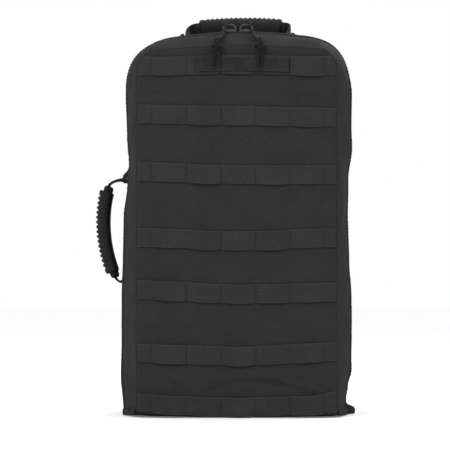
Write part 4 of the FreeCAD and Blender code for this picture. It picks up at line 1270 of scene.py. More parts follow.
def make_handle(name, origin, x, z, slope, slide, raised, roll):
    """The strap inside a moulded grip and the feet it turns on. x runs along the strap, z out from the pack.

    Each handle hangs a little askew: its grip slopes along the strap, and it has slid along it and stands off.
    """
    y = z.cross(x)

    def at(s, h, across=0.0):
        loose = smooth(FOOT_ROUND + FOOT, GRIP_HEIGHT * 0.6, h)
        return origin + x * (s + slide * loose) + z * (h + (slope * s + raised) * loose) + y * across

    centre = GRIP_HEIGHT - GRIP_ARC
    end = centre + math.sqrt(GRIP_ARC**2 - GRIP_HALF**2)
    feet, heap = Heap(), Heap()
    make_grip(name, at)
    make_strap_roll(name, at, y, roll)
    for side in (-1, 1):
        # Flat where it leaves the grip, the strap folds together towards its foot.
        stations = (
            (50, centre / MM + math.sqrt(190**2 - 50**2), 25.0, 2.0),
            (57, end / MM + 0.4, 25.2, 2.0),
            (61, end / MM - 0.6, 25.2, 2.0),
            (65.5, end / MM - 2.2, 25.0, 2.0),
            (69.5, end / MM - 5.5, 24.6, 2.2),
            (71.8, end / MM - 10.5, 23.0, 2.8),
            (72.4, 13.5, 17.5, 4.6),
            (71.4, 9.5, 12.0, 6.6),
            (70.2, 6.8, 8.6, 7.8),
        )
        path, outs, wide, thick = [], [], [], []
        for i, (s, h, w, d) in enumerate(stations):
            s0, h0 = stations[max(i - 1, 0)][:2]
            s1, h1 = stations[min(i + 1, len(stations) - 1)][:2]
            along = Vector((s1 - s0, h1 - h0)).normalized()
            up = Vector((-along.y, along.x))
            path.append(at(side * (s - up.x * d / 2) * MM, (h - up.y * d / 2) * MM))
            outs.append((x * side * up.x + z * up.y).normalized())
            wide.append(w * MM)
            thick.append(d * MM)
        strap = ribbon(
            f"{name}_strap_end_{'a' if side < 0 else 'b'}", path, [y] * len(path), outs, wide, thick,
            "web_cloth", name, [f"{name}_strap"] if side < 0 else (),
        )
        smoothed(strap, 2)
        run = [at(side * s * MM, FOOT) for s in (67, 67.4, 68, 70, 72, 73.4, 73.9, 74)]
        feet.add(*tube_mesh(run, [r * MM for r in (3.4, 4.0, 4.2, 4.2, 4.2, 4.1, 3.6, 3.0)], 20))
        for s in (68.6, 69.7, 70.8, 71.9):
            turn = (2 * math.pi * k / 20 for k in range(20))
            ring = [at(side * s * MM, FOOT + 4.25 * MM * math.cos(a), 4.25 * MM * math.sin(a)) for a in turn]
            heap.add(*tube_mesh(ring, 0.35 * MM, 5, closed=True))
    feet.finish(f"{name}_feet", "dark_web", name, "webbing")
    heap.finish(f"{name}_whipping", "thread", name, "webbing")


def make_anchor(name, body, replaces, surface, along, across, out):
    """A sewn patch, whose folded end carries the handle's foot. surface(distance, lift) starts at the foot."""
    stations = (
        (34.0, 25.4, 1.7),
        (33.0, 25.4, 2.0),
        (28.0, 25.4, 2.0),
        (20.0, 25.4, 2.0),
        (14.0, 25.4, 2.4),
        (10.0, 24.0, 4.2),
        (7.0, 19.0, 7.0),
        (4.4, 12.0, 9.6),
        (2.2, 9.0, 10.2),
        (0.15, 8.4, 9.9),
    )
    path = [surface(s * MM, 0.15 * MM) for s, _, _ in stations]
    wide, thick = [w * MM for _, w, _ in stations], [d * MM for _, _, d in stations]
    n = len(path)
    ribbon(name, path, [across] * n, [out] * n, wide, thick, "web_cloth", body, replaces)
    heap = Heap()
    base = surface(15.5 * MM, 2.25 * MM) - across * 10.2 * MM
    far = surface(31.5 * MM, 2.25 * MM) - surface(15.5 * MM, 2.25 * MM)
    box_stitch(heap, base, across, far.normalized(), out, 20.4 * MM, far.length)
    bar_tack(heap, surface(12.6 * MM, 3.0 * MM), across, along, out, 19 * MM)
    return heap


def make_handles():
    lean = math.radians(66)
    z = Vector((0, math.sin(lean), math.cos(lean)))
    hinge = Vector((0, *TOP_HANDLE))
    make_handle("top_handle", hinge - z * FOOT, Vector((1, 0, 0)), z, 0.035, 4.5 * MM, 1.5 * MM, 0.75)
    # How far out along the pack a patch starts, and how steeply the pack's top falls towards the back.
    foot, top_fall = 74.3 * MM, 0.078

    def top_at(x, lift):
        (half, _, corner, arch), _, _ = gusset_at(TOP_HANDLE[0])
        rise = math.sqrt((arch - corner) ** 2 - (half - corner) ** 2)
        tilt = math.atan2(rise, half - corner)
        f = (math.acos(x / arch) - (math.pi - tilt)) / (2 * tilt - math.pi)
        return side_point(2 + f, TOP_HANDLE[0], lift)

    for side, name in SIDES:
        arch = side * (foot + 0.017) / ZIP[3]
        out = Vector((math.sin(arch), top_fall, math.cos(arch))).normalized()
        heap = make_anchor(
            f"top_handle_patch_{name}", "shell", ["top_handle_anchors"] if side < 0 else (),
            lambda s, lift: top_at(side * (foot + s), lift),
            Vector((side, 0, 0)), Vector((0, 1, -top_fall)).normalized(), out,
        )
        heap.finish(f"top_handle_patch_{name}_stitches", "thread", "shell", "webbing")

    out = side_out(-1)
    base = Vector((-SIDE_HANDLE_OUT, *SIDE_HANDLE))
    make_handle("side_handle", base, Vector((0, 0, 1)), out, 0.075, -2.0 * MM, 0.0, 1.35)
    for side, name in ((-1, "lower"), (1, "upper")):
        heap = make_anchor(
            f"side_handle_patch_{name}", "shell", ["side_handle_anchors"] if side < 0 else (),
            lambda s, lift: wall_point(-1, SIDE_HANDLE[0], SIDE_HANDLE[1] + side * (foot + s), lift),
            Vector((0, 0, side)), out.cross(Vector((0, 0, 1))).normalized(), out,
        )
        heap.finish(f"side_handle_patch_{name}_stitches", "thread", "shell", "webbing")


# ---------------------------------------------------------------- padded pieces


def puffed(obj, voxel, cap, pressure=4.0):
    """Swells a closed piece by cloth simulation, no point further than cap."""
    remesh = obj.modifiers.new("remesh", "REMESH")
    remesh.mode, remesh.voxel_size, remesh.use_smooth_shade = "VOXEL", voxel, True
    replace_mesh(obj)
    before = points_of(obj.data)
    cloth = obj.modifiers.new("cloth", "CLOTH")
    settings = cloth.settings
    settings.quality, settings.mass, settings.use_pressure = 4, 0.3, True
    settings.uniform_pressure_force = pressure
    settings.tension_stiffness = settings.compression_stiffness = 25
    settings.shear_stiffness, settings.bending_stiffness = 10, 2
    settings.effector_weights.gravity = 0
    cloth.collision_settings.use_collision = False
    for frame_number in range(1, 21):
        scene.frame_set(frame_number)
    replace_mesh(obj)
    scene.frame_set(1)
    moved = points_of(obj.data) - before
    far = np.linalg.norm(moved, axis=1, keepdims=True)
    moved *= np.minimum(1, cap / np.maximum(far, 1e-9))
    set_points(obj.data, before + moved)
    smoothed(obj, 1)
    replace_mesh(obj)
    return obj


def replace_mesh(obj):
    """Applies all of a piece's modifiers."""
    view = bpy.context.evaluated_depsgraph_get()
    view.update()
    mesh = bpy.data.meshes.new_from_object(obj.evaluated_get(view))
    obj.modifiers.clear()
    obj.data = mesh


def points_of(mesh):
    co = np.empty(len(mesh.vertices) * 3, np.float32)
    mesh.vertices.foreach_get("co", co)
    return co.reshape(-1, 3).astype(float)


def set_points(mesh, points):
    mesh.vertices.foreach_set("co", points.astype(np.float32).ravel())
    mesh.update()


def pad_place(centre, half, u, v):
    """A place on a pad whose outline is a square with softly rounded sides: u and v run from -1 to 1."""
    x = centre.x + half.x * u * math.sqrt(1 - 0.14 * v * v * min(1, half.z / half.x))
    return x, centre.z + half.z * v * math.sqrt(1 - 0.14 * u * u * min(1, half.x / half.z))


def pad_mesh(low, high):
    """A crowned pad with round corners, its flat side towards the pack. Returns its vertices and faces."""
    centre, half = (low + high) / 2, (high - low) / 2
    n, m, verts = 36, 44, []
    for face in (0, 1):
        for i in range(n + 1):
            for j in range(m + 1):
                u, v = 2 * i / n - 1, 2 * j / m - 1
                u, v = math.sin(u * math.pi / 2) * 0.5 + u * 0.5, math.sin(v * math.pi / 2) * 0.5 + v * 0.5
                x, z = pad_place(centre, half, u, v)
                d = min(half.x * (1 - abs(u)), half.z * (1 - abs(v)))
                y = low.y + (high.y - low.y) * 0.35
                crown = math.sqrt(max(0, 1 - (1 - min(d / (9 * MM), 1)) ** 2))
                y += (high.y - y) * crown if face else -(y - low.y) * min(d / (4 * MM), 1)
                verts.append(Vector((x, y, z)))
    size = (n + 1) * (m + 1)
    faces = grid_faces(n + 1, m + 1) + grid_faces(n + 1, m + 1, start=size, flip=True)
    return verts, faces


def welded(name, verts, faces, material, body, replaces):
    obj = piece(name, verts, faces, material, body, replaces)
    shape = bmesh.new()
    shape.from_mesh(obj.data)
    bmesh.ops.remove_doubles(shape, verts=shape.verts, dist=1e-5)
    bmesh.ops.recalc_face_normals(shape, faces=shape.faces)
    shape.to_mesh(obj.data)
    shape.free()
    return obj


def make_pads():
    low, high = box("back_pads")
    lumbar_low, lumbar_high = box("lumbar_pad")
    gap = 20 * MM
    spots = (
        ("back_pad_left", Vector((low.x, low.y, low.z)), Vector((-gap, high.y, high.z)), 5, ["back_pads"]),
        ("back_pad_right", Vector((gap, low.y, low.z)), Vector((high.x, high.y, high.z)), 5, ()),
        ("lumbar_cushion", lumbar_low, lumbar_high, 0, ["lumbar_pad"]),
    )
    for name, a, b, channels, nodes in spots:
        a, b = a + Vector((2, 0.2, 2)) * MM, b - Vector((2, 1.2, 2)) * MM
        verts, faces = pad_mesh(a, b)
        obj = puffed(welded(name, verts, faces, "air_mesh", "shell", nodes), 4.5 * MM, 5 * MM)
        p = points_of(obj.data)
        outer = np.clip((p[:, 1] - a.y) / (b.y - a.y), 0, 1.2)
        if channels:
            for k in range(1, channels):
                z = a.z + (b.z - a.z) * k / channels
                p[:, 1] -= outer * 4.5 * MM * np.exp(-(((p[:, 2] - z) / (3 * MM)) ** 2))
        else:
            for x in (-0.031, 0.031):
                p[:, 1] -= outer * 4.5 * MM * np.exp(-(((p[:, 0] - x) / (3 * MM)) ** 2))
        p[:, 1] = np.clip(p[:, 1], a.y + 0.1 * MM, b.y + 3.5 * MM)
        set_points(obj.data, p)
        # A binding runs round each pad where it is sewn down.
        ring, n = [], 120
        centre, half = (a + b) / 2, (b - a) / 2
        for k in range(n):
            t = 2 * math.pi * k / n
            u, v = math.cos(t), math.sin(t)
            scale = 1 / max(abs(u), abs(v))
            u, v = u * scale, v * scale
            u, v = max(-1, min(1, u)), max(-1, min(1, v))
            x, z = pad_place(centre, half, u, v)
            ring.append(Vector((x, a.y + 1.8 * MM, z)))
        heap = Heap()
        heap.add(*tube_mesh(ring, 2.4 * MM, 10, closed=True))
        heap.finish(f"{name}_binding", "binding", "shell", "webbing")


# ---------------------------------------------------------------- harness

SPLAY, STRAP_TOP, HARNESS_HALF = math.radians(6), 0.476, 0.056


def splayed(side, across, y, z):
    """A point of a shoulder strap's own frame: across from its middle, depth and height, all in metres."""
    down = STRAP_TOP - z
    return Vector(
        (
            side * (HARNESS_HALF + across * math.cos(SPLAY) + down * math.sin(SPLAY)),
            y,
            STRAP_TOP - down * math.cos(SPLAY) + across * math.sin(SPLAY),
        )
    )


# Stations down the strap in mm: (outer y, z), (inner y, z).
STRAP_LINE = (
    ((101.4, 476), (101.2, 453)),
    ((111.5, 471.5), (105.5, 447.5)),
    ((120, 462), (110, 440)),
    ((128.5, 443), (115.5, 428)),
    ((133, 420), (119, 412)),
    ((135, 376), (121, 374)),
    ((135, 330), (121, 330)),
    ((132.6, 260), (118.4, 260)),
    ((128, 190), (114, 190)),
)


def along_line(stations, f):
    """A Catmull-Rom curve through equal-length tuples of pairs, f from 0 to 1."""
    n = len(stations) - 1
    i = min(int(f * n), n - 1)
    t = f * n - i
    p = [stations[max(0, min(n, k))] for k in (i - 1, i, i + 1, i + 2)]
    result = []
    for pair in range(2):
        for c in range(2):
            a, b, d, e = (q[pair][c] for q in p)
            result.append(
                0.5 * (2 * b + (d - a) * t + (2 * a - 5 * b + 4 * d - e) * t * t + (3 * b - a - 3 * d + e) * t**3)
            )
    return (Vector(result[:2]) * MM, Vector(result[2:]) * MM)


def make_shoulder_strap(side, name):
    body, sections, around = f"strap_{name}", 64, 28
    half, verts = 29.5 * MM, []
    for i in range(sections + 1):
        f = i / sections
        outer, inner = along_line(STRAP_LINE, f)
        middle, thick = (outer + inner) / 2, (outer - inner) / 2
        narrow = 1 - 0.42 * smooth(0.86, 1.0, f) - 0.1 * smooth(0.12, 0.0, f)
        slim = 0.86 * (1 - 0.5 * smooth(0.93, 1.0, f))
        for k in range(around):
            a = 2 * math.pi * k / around
            c, s = math.cos(a), math.sin(a)
            across = half * narrow * math.copysign(abs(c) ** 0.45, c)
            rise = slim * math.copysign(abs(s) ** 0.7, s)
            p = middle + thick * rise
            verts.append(splayed(side, across, p.x, p.y))
    faces, node = capped_faces(sections + 1, around), f"shoulder_strap_{name}"
    obj = welded(f"{node}_pad", verts, faces, "harness_cloth", body, [node])
    puffed(obj, 4.5 * MM, 2.5 * MM, 3.0)
    obj.data.materials.append(look("air_mesh"))
    for polygon in obj.data.polygons:
        n, c = polygon.normal, polygon.center
        inward = -n.y if c.z < 0.44 else -n.y * 0.7 - n.z * 0.7
        polygon.material_index = 1 if inward > 0.35 else 0
        polygon.use_smooth = True

    # Binding down both edges and round the end.
    edge = []
    for f in spaced(0.02, 1.0, 60):
        outer, inner = along_line(STRAP_LINE, f)
        middle = (outer + inner) / 2
        narrow = 1 - 0.42 * smooth(0.86, 1.0, f) - 0.1 * smooth(0.12, 0.0, f)
        edge.append((half * narrow + 0.4 * MM, middle))
    line = [splayed(side, a, m.x, m.y) for a, m in edge]
    line += [splayed(side, -a, m.x, m.y) for a, m in reversed(edge)]
    heap = Heap()
    heap.add(*tube_mesh(line, 2.7 * MM, 10))
    heap.finish(f"{node}_binding", "binding", body, "webbing")

    # Webbing sewn down the strap's outer face, from the yoke to the ladder lock.
    path, outs = [], []
    steps = spaced(0.035, 0.97, 70)
    for f in steps:
        outer, inner = along_line(STRAP_LINE, f)
        ahead, _ = along_line(STRAP_LINE, min(f + 0.01, 1))
        behind, _ = along_line(STRAP_LINE, max(f - 0.01, 0))
        down = (ahead - behind).normalized()
        up = Vector((-down.y, down.x))
        top = outer + up * 0.4 * MM
        path.append(splayed(side, 0, top.x, top.y))
        outs.append(Vector((side * up.y * -math.sin(SPLAY), up.x, up.y * math.cos(SPLAY))))
    across = Vector((side * math.cos(SPLAY), 0, math.sin(SPLAY)))
    ribbon(f"harness_web_{name}", path, [across] * len(path), outs, WEB, WEB_THICK, "web_cloth", body)
    heap = Heap()
    for offset in (-10.4 * MM, 10.4 * MM):
        line = [p + across * offset + o * 1.45 * MM for p, o in zip(path, outs)]
        stitch_line(heap, line, outs[:-1])
    for k in (18, 33, 48, 62):
        along = (path[k + 1] - path[k - 1]).normalized()
        bar_tack(heap, path[k] + outs[k] * 1.5 * MM, across, along, outs[k], WEB - 2 * MM)
    heap.finish(f"harness_stitches_{name}", "thread", body, "webbing")

    dress(f"ladder_lock_{name}", "buckle_plastic", 0.0008, 3)
    dress(f"sternum_slide_{name}", "buckle_plastic", 0.0005, 2)
    # A short loop of webbing holds the ladder lock to the strap's end.
    hold = []
    for y, z in (
        (121.5, 206), (123.5, 200), (124.6, 194), (124.6, 188), (123.8, 185.6), (121.3, 185.2), (118.6, 186),
        (117.6, 190), (117.4, 197), (116.8, 205),
    ):
        hold.append(splayed(side, 0, y * MM, z * MM))
    outs = []
    centre = splayed(side, 0, 121.2 * MM, 192 * MM)
    for i, p in enumerate(hold):
        along = heading(hold, i)
        o = along.cross(across)
        outs.append(o if o.dot(p - centre) > 0 else -o)
    ribbon(f"lock_loop_{name}", hold, [across] * len(hold), outs, 25 * MM, 1.1 * MM, "web_cloth", body)


# The webbing through a ladder lock, on its bar side, in mm: (depth, height) in the strap's own frame.
LOCK_IN = (
    (118.0, 157), (118.7, 161), (118.8, 165), (118.8, 170), (118.8, 174.5), (118.9, 176.6), (119.5, 178.1),
    (121.2, 178.7),
)
LOCK_OUT = ((121.2, 178.7), (122.9, 178.1), (123.7, 176.6), (123.8, 173), (123.8, 168), (124.1, 162), (124.9, 154))
LOCK_TAIL = ((126.2, 144), (127.6, 134), (128.6, 124), (128.9, 114), (128.4, 105))


def make_lower_web(side, name):
    """Up from the wing at the pack's foot, through the ladder lock, to a free tail."""
    low, high = Vector((side * 0.1455, 0.1022, 0.022)), Vector((side * 0.089, 0.120, 0.158))
    along = (high - low).normalized()
    across = Vector((0, 1, 0)).cross(along).normalized()
    out = along.cross(across).normalized()
    if out.y < 0:
        out = -out
    in_lock = Vector((math.cos(SPLAY), 0, side * math.sin(SPLAY)))
    steps, reach = 50, 0.88

    def straight(f):
        return low + (high - low) * f + out * (0.7 * MM + 2.2 * MM * math.sin(math.pi * min(f, 1)))

    path = [straight(reach * k / steps) for k in range(steps + 1)]
    turns = [across] * len(path)
    start = splayed(side, 0, LOCK_IN[0][0] * MM, LOCK_IN[0][1] * MM)
    lead = path[-1] + along * 9 * MM
    arrive = start - (splayed(side, 0, 0.1187, 0.161) - start).normalized() * 6 * MM
    for k in range(1, 8):
        f = k / 8
        curve = path[steps] * (1 - f) ** 3 + lead * 3 * f * (1 - f) ** 2
        path.append(curve + arrive * 3 * f * f * (1 - f) + start * f**3)
        turns.append(across.lerp(in_lock, smooth(0, 1, f)).normalized())
    path += [splayed(side, 0, y * MM, z * MM) for y, z in LOCK_IN]
    turns += [in_lock] * len(LOCK_IN)
    web = ribbon(
        f"lower_strap_{name}", path, turns, backs_of(path, turns), WEB, WEB_THICK,
        "web_cloth", "shell", [f"lower_web_{name}"],
    )
    web.parent = None
    del web["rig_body"]
    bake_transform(web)

    path = [splayed(side, 0, y * MM, z * MM) for y, z in LOCK_OUT + LOCK_TAIL]
    turns = [in_lock] * len(path)
    ribbon(
        f"lock_tail_{name}", path, turns, backs_of(path, turns), WEB, [WEB_THICK] * (len(path) - 2) + [3.2 * MM] * 2,
        "web_cloth", f"strap_{name}",
    )


def backs_of(path, across):
    """The thickness direction of a strap that starts out facing forwards and turns with its path."""
    outs = []
    for i in range(len(path)):
        along = heading(path, i)
        outs.append(across[i].cross(along).normalized())
    flip = -1 if outs[0].y > 0 else 1
    return [o * flip for o in outs]


def make_yoke():
    low, high = box("strap_yoke")
    cloth, heap, out = "shell_cloth", Heap(), Vector((0, 1, 0))

    def face(x, z):
        d = min(x - low.x, high.x - x, z - low.z, high.z - z)
        return high.y - rolled(d, 2.5 * MM, 2.2 * MM) + puff((x, 3, z), 0.03, 0.3 * MM)

    xs, zs = spaced(low.x, high.x, 60), spaced(low.z, high.z, 18)
    points = [[Vector((x, face(x, z), z)) for x in xs] for z in zs]
    uvs = [[(x, z) for x in xs] for z in zs]
    sheet_grid("yoke_cloth", points, uvs, cloth, "shell", ["strap_yoke"], out=out, thick=2.4 * MM)
    y = high.y + 0.1 * MM
    for side in (-1, 1):
        base = Vector((side * HARNESS_HALF - 28 * MM, y, low.z + 25 * MM))
        box_stitch(heap, base, Vector((1, 0, 0)), Vector((0, 0, 1)), out, 56 * MM, 19 * MM)
    left, right, bottom, top = low.x + 3 * MM, high.x - 3 * MM, low.z + 3 * MM, high.z - 3 * MM
    border = [Vector((x, y, z)) for x, z in ((left, bottom), (right, bottom), (right, top), (left, top))]
    stitch_round(heap, border, out, 6 * MM)

    # Wings: folded triangles that hold the lower webbing at the pack's foot.
    for side, name in ((1, "right"), (-1, "left")):
        a, b = box(f"strap_wing_{name}")
        points, uvs = [], []
        for k in range(25):
            z = a.z + (b.z - a.z) * k / 24
            reach = graph(((0, 158), (24, 158), (46, 148), (60, 130)), z / MM)
            line = []
            for j in range(17):
                x = (128 + (reach - 128) * j / 16) * MM
                d = min((reach * MM - x), z - a.z, b.z - z)
                line.append(
                    Vector((side * x, b.y - rolled(d, 2.2 * MM, 2.0 * MM) + puff((x, side, z), 0.02, 0.4 * MM), z))
                )
            points.append(line)
            uvs.append([(p.x, p.z) for p in line])
        node = f"strap_wing_{name}"
        sheet_grid(f"{node}_cloth", points, uvs, cloth, "shell", [node], out=out, thick=2.4 * MM)
        edge = [(154.5, 6), (154.5, 22), (146, 41), (137, 50)]
        path = [Vector((side * x * MM, b.y + 0.15 * MM, z * MM)) for x, z in edge]
        stitch_round(heap, path, out, 5 * MM, closed=False)
    heap.finish("yoke_stitches", "thread", "shell", "shell_fabric")


def make_sternum(side, name, buckle):
    body = f"sternum_{name}"
    bar = Vector((0.142, 0.350))
    path2, radius = [], 2.5 * MM
    path2 += [
        (bar.x - 0.9 * MM, 0.2985), (bar.x - 1.2 * MM, 0.310), (bar.x - 1.9 * MM, 0.326), (bar.x - radius, 0.342)
    ]
    for k in range(13):
        a = math.pi - math.pi * k / 12
        path2.append((bar.x + radius * math.cos(a), bar.y + radius * math.sin(a)))
    path2 += [
        (bar.x + radius, 0.342), (bar.x + 1.9 * MM, 0.326), (bar.x + 1.2 * MM, 0.310), (bar.x + 0.9 * MM, 0.2985)
    ]
    path = [splayed(side, 0, y, z) for y, z in path2]
    centre = splayed(side, 0, bar.x, 0.33)
    across = Vector((side * math.cos(SPLAY), 0, math.sin(SPLAY)))
    outs = []
    for i, p in enumerate(path):
        along = heading(path, i)
        o = along.cross(across)
        outs.append(o if o.dot(p - centre) > 0 else -o)
    ribbon(
        f"sternum_strap_{name}", path, [across] * len(path), outs, 20 * MM, 1.1 * MM,
        "web_cloth", body, [f"sternum_web_{name}"],
    )
    heap = Heap()
    k = len(path) - 3
    bar_tack(heap, path[k] + outs[k] * 1.1 * MM, across, (path[k + 1] - path[k - 1]).normalized(), outs[k], 16 * MM)
    heap.finish(f"sternum_tack_{name}", "thread", body, "webbing")
    dress(buckle, "buckle_plastic", 0.0009, 3)


# ---------------------------------------------------------------- inside


def make_lining():
    low, _ = box("back_lining")

    def face(x, z):
        return low.y - puff((x, 5, z), 0.05, 0.6 * MM)

    panel(
        "back_lining_cloth", inset(BACK, 6 * MM), low.z, face, 50, 70, (0, -1, 0),
        "lining_cloth", "shell", ["back_lining"], 1.2 * MM,
    )
    dress("frame_sheet", "frame_sheet_plastic")
    dress("frame_stays", "stay_alloy", 0.0004)
    # Binding over the raw seams inside both halves.
    for name, sizes, y, base, body in (
        ("door_seam_binding", inset(FRONT, 2.8 * MM), FRONT_LOW.y + 8.5 * MM, DOOR_LOW.z, "door"),
        ("shell_seam_binding", inset(BACK, 3.0 * MM), BACK_LOW.y - 7.5 * MM, REAR_LOW.z, "shell"),
    ):
        points, outs = edge_run(sizes, y, base + 4 * MM)
        across, inwards = [Vector((0, 1, 0))] * len(points), [-o for o in outs]
        ribbon(name, points, across, inwards, 9 * MM, 1.6 * MM, "binding", body)


def make_pouches():
    cloth, out = "pouch_cloth", Vector((0, -1, 0))
    threads, bands = Heap(), Heap()
    for name in ("top", "middle", "bottom"):
        a, b = box(f"kit_pouch_{name}")
        xs, zs = spaced(a.x, b.x, 60), spaced(a.z, b.z, 34)
        points = []
        for z in zs:
            line = []
            for x in xs:
                d = min(x - a.x, b.x - x, z - a.z, b.z - z)
                swell = (b.y - a.y) * (0.32 + 0.68 * math.sqrt(max(0, 1 - (1 - min(d / 22e-3, 1)) ** 2)))
                swell -= 1.2 * MM * (1 + noise.noise(Vector((x, z, 7)) / 0.035))
                line.append(Vector((x, b.y - max(swell, 1 * MM), z)))
            points.append(line)
        verts = [p for line in points for p in line]
        back = [Vector((p.x, b.y, p.z)) for p in verts]
        n, m = len(zs), len(xs)
        faces = grid_faces(n, m) + grid_faces(n, m, start=n * m, flip=True)
        rim = [*range(m - 1), *range(m - 1, n * m, m)]
        rim += [*range(n * m - 2, (n - 1) * m - 1, -1), *range((n - 2) * m, 0, -m)]
        faces += [(p, q, q + n * m, p + n * m) for p, q in zip(rim, rim[1:] + rim[:1])]
        uvs = [(p.x, p.z) for p in verts] * 2
        obj = piece(
            f"kit_pouch_{name}_bag", verts + back, faces, cloth, "shell", [f"kit_pouch_{name}"], uvs
        )
        closed_out(obj)
        # A clear window with a bound edge, and a zip above it.
        left, right, bottom, top = a.x + 22 * MM, b.x - 22 * MM, a.z + 16 * MM, b.z - 34 * MM

        def front_at(x, z, lift):
            i = min(max((z - a.z) / (b.z - a.z) * (n - 1), 0), n - 1.001)
            j = min(max((x - a.x) / (b.x - a.x) * (m - 1), 0), m - 1.001)
            p = points[int(i)][int(j)].lerp(points[int(i)][int(j) + 1], j % 1)
            q = points[int(i) + 1][int(j)].lerp(points[int(i) + 1][int(j) + 1], j % 1)
            return p.lerp(q, i % 1) - Vector((0, lift, 0))

        wx, wz = spaced(left, right, 48), spaced(bottom, top, 24)
        film = [[front_at(x, z, 0.5 * MM) for x in wx] for z in wz]
        uvs = [[(x, z) for x in wx] for z in wz]
        sheet_grid(
            f"kit_pouch_{name}_window", film, uvs, "clear_film", "shell", out=out, thick=0.4 * MM
        )
        frame_line = [(left, bottom), (right, bottom), (right, top), (left, top)]
        for (x0, z0), (x1, z1) in zip(frame_line, frame_line[1:] + frame_line[:1]):
            k = round(math.hypot(x1 - x0, z1 - z0) / (5 * MM))
            line = [front_at(x0 + (x1 - x0) * i / k, z0 + (z1 - z0) * i / k, 0.6 * MM) for i in range(k + 1)]
            across = Vector((0, 0, 1)) if abs(x1 - x0) > abs(z1 - z0) else Vector((1, 0, 0))
            lows = []
            for p in line:
                for c, h in ((-4.5, 0.1), (-3.6, 0.9), (3.6, 0.9), (4.5, 0.1)):
                    lows.append(p + across * c * MM + out * h * MM)
            bands.add(lows, grid_faces(len(line), 4))
            stitch_line(threads, [p + out * 0.95 * MM for p in line], [out] * k)
        z = b.z - 20 * MM
        k = 60
        line = [front_at(left + (right - left) * i / k, z, 0.3 * MM) for i in range(k + 1)]
        lows = []
        for p in line:
            for c, h in ((-6, 0.1), (-5, 0.8), (5, 0.8), (6, 0.1)):
                lows.append(p + Vector((0, -h, c)) * MM)
        bands.add(lows, grid_faces(len(line), 4))
        teeth = Heap()
        for i in range(1, k):
            for j in (0, 0.5):
                p = line[i].lerp(line[i + 1], j) - Vector((0, 0.8 * MM, 0))
                teeth.stick(p - Vector((0, 0, 2 * MM)), p + Vector((0, 0, 2 * MM)), out, 1.2 * MM, 0.8 * MM)
        p = line[k - 4]
        teeth.stick(p + Vector((-4, -1.4, 0)) * MM, p + Vector((4, -1.4, 0)) * MM, out, 7 * MM, 1.4 * MM)
        teeth.finish(f"kit_pouch_{name}_zip", "coil_nylon", "shell", "zip_coil")
    bands.finish("kit_pouch_bands", "binding", "shell", "pouch_fabric")
    threads.finish("kit_pouch_stitches", "thread", "shell", "pouch_fabric")


def make_mesh_pockets():
    """Net pockets inside the door: a real net in a bound frame."""
    frame_heap = Heap()
    for name in ("upper", "lower"):
        a, b = box(f"mesh_pocket_{name}")
        cell = 5 * MM
        nx, nz = round((b.x - a.x) / cell), round((b.z - a.z) / cell)

        def face(x, z):
            u, v = (x - a.x) / (b.x - a.x), (z - a.z) / (b.z - a.z)
            belly = (b.y - a.y - 1.6 * MM) * (1 - (2 * u - 1) ** 6) * (1 - abs(2 * v - 1) ** 5)
            return a.y + 0.8 * MM + belly * (0.9 + 0.1 * noise.noise(Vector((x, z, 1)) / 0.03))

        heap = Heap()
        half = 0.35 * MM
        # Hexagon-like net: rows of zigzag threads that meet in pairs.
        for j in range(nz + 1):
            z = a.z + (b.z - a.z) * j / nz
            line = []
            for i in range(2 * nx + 1):
                x = a.x + (b.x - a.x) * i / (2 * nx)
                zz = min(max(z + (cell * 0.3 if (i + j) % 2 else -cell * 0.3), a.z + half), b.z - half)
                line.append(Vector((x, face(x, zz), zz)))
            heap.add(*tube_mesh(line, half, 4))
        heap.finish(f"mesh_pocket_{name}_net", "net_thread", "door", "open_mesh", [f"mesh_pocket_{name}"])
        for (x0, z0), (x1, z1) in (
            ((a.x, b.z), (b.x, b.z)), ((a.x, a.z), (b.x, a.z)), ((a.x, a.z), (a.x, b.z)), ((b.x, a.z), (b.x, b.z))
        ):
            k = 40
            line = []
            for i in range(k + 1):
                x, z = x0 + (x1 - x0) * i / k, z0 + (z1 - z0) * i / k
                x, z = min(max(x, a.x + 4 * MM), b.x - 4 * MM), min(max(z, a.z + 5 * MM), b.z - 5 * MM)
                line.append(Vector((x, face(x, z), z)))
            across = Vector((0, 0, 1)) if abs(x1 - x0) > abs(z1 - z0) else Vector((1, 0, 0))
            ring = []
            for p in line:
                for c, h in ((-5, -0.9), (-4.4, 0.9), (4.4, 0.9), (5, -0.9)):
                    ring.append(p + across * c * MM + Vector((0, h * MM, 0)))
            frame_heap.add(ring, grid_faces(len(line), 4, closed=True))
    frame_heap.finish("mesh_pocket_frames", "binding", "door", "open_mesh")


# ---------------------------------------------------------------- everything

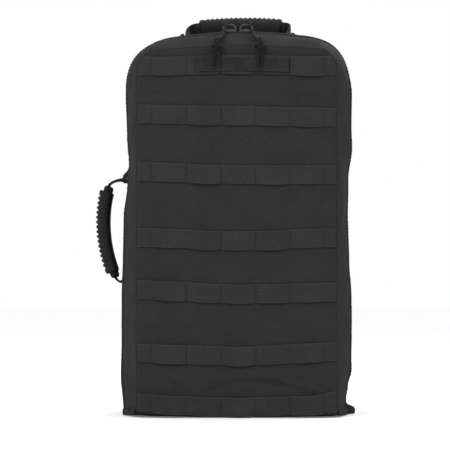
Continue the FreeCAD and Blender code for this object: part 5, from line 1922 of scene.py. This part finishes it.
make_shell()
make_zip()
make_zip_ends()
make_base()
make_rows()
make_name_tape()
make_side_webbing()
make_rings()
make_handles()
make_pads()
for side, name in SIDES:
    make_shoulder_strap(side, name)
for side, name in SIDES:
    make_lower_web(side, name)
make_yoke()
for (side, name), buckle in zip(SIDES, ("female", "male")):
    make_sternum(side, name, f"sternum_buckle_{buckle}")
make_lining()
make_pouches()
make_mesh_pockets()
for name in ("left", "right"):
    dress(f"zip_slider_{name}", "slider_steel", 0.0003, 2)


def make_stage():
    """A wide pale floor under a white sky, and soft light from above and both sides."""
    wide, rings = 14.0, 10
    places = spaced(-wide, wide, rings)
    verts = [(x, y, 0) for x in places for y in places]
    mesh = bpy.data.meshes.new("floor")
    mesh.from_pydata(verts, [], grid_faces(rings + 1, rings + 1))
    n = Nodes(
        "studio_floor", (0.8, 0.8, 0.8), 0.9, Specular_IOR_Level=0.1, Emission_Color=(1, 1, 1, 1),
        Emission_Strength=0.16,
    )
    n.shade(n.spread(n.noise(3), 0.995, 1.005))
    mesh.materials.append(n.material)
    floor = bpy.data.objects.new("floor", mesh)
    scene.collection.objects.link(floor)
    world = bpy.data.worlds.new("studio")
    world.use_nodes = True
    world.node_tree.nodes["Background"].inputs["Color"].default_value = (1, 1, 1, 1)
    world.node_tree.nodes["Background"].inputs["Strength"].default_value = 1.0
    scene.world = world
    scene.view_settings.view_transform = "Standard"
    # Name, place, aim, size across and power.
    lamps = (
        ("key", (-1.7, -2.4, 2.2), (0, 0, 0.3), 1.2, 60),
        ("fill", (2.4, -1.6, 1.2), (0, 0, 0.25), 1.6, 16),
        ("top", (0.3, 0.4, 2.6), (0, 0, 0.2), 1.4, 12),
        ("back", (0.8, 2.6, 1.6), (0, 0, 0.3), 1.4, 30),
    )
    for name, place, aim, size, power in lamps:
        light = bpy.data.lights.new(name, "AREA")
        light.shape, light.size, light.energy = "DISK", size, power
        lamp = bpy.data.objects.new(name, light)
        lamp.location = place
        lamp.rotation_euler = (Vector(aim) - Vector(place)).to_track_quat("-Z", "Y").to_euler()
        scene.collection.objects.link(lamp)


make_stage()
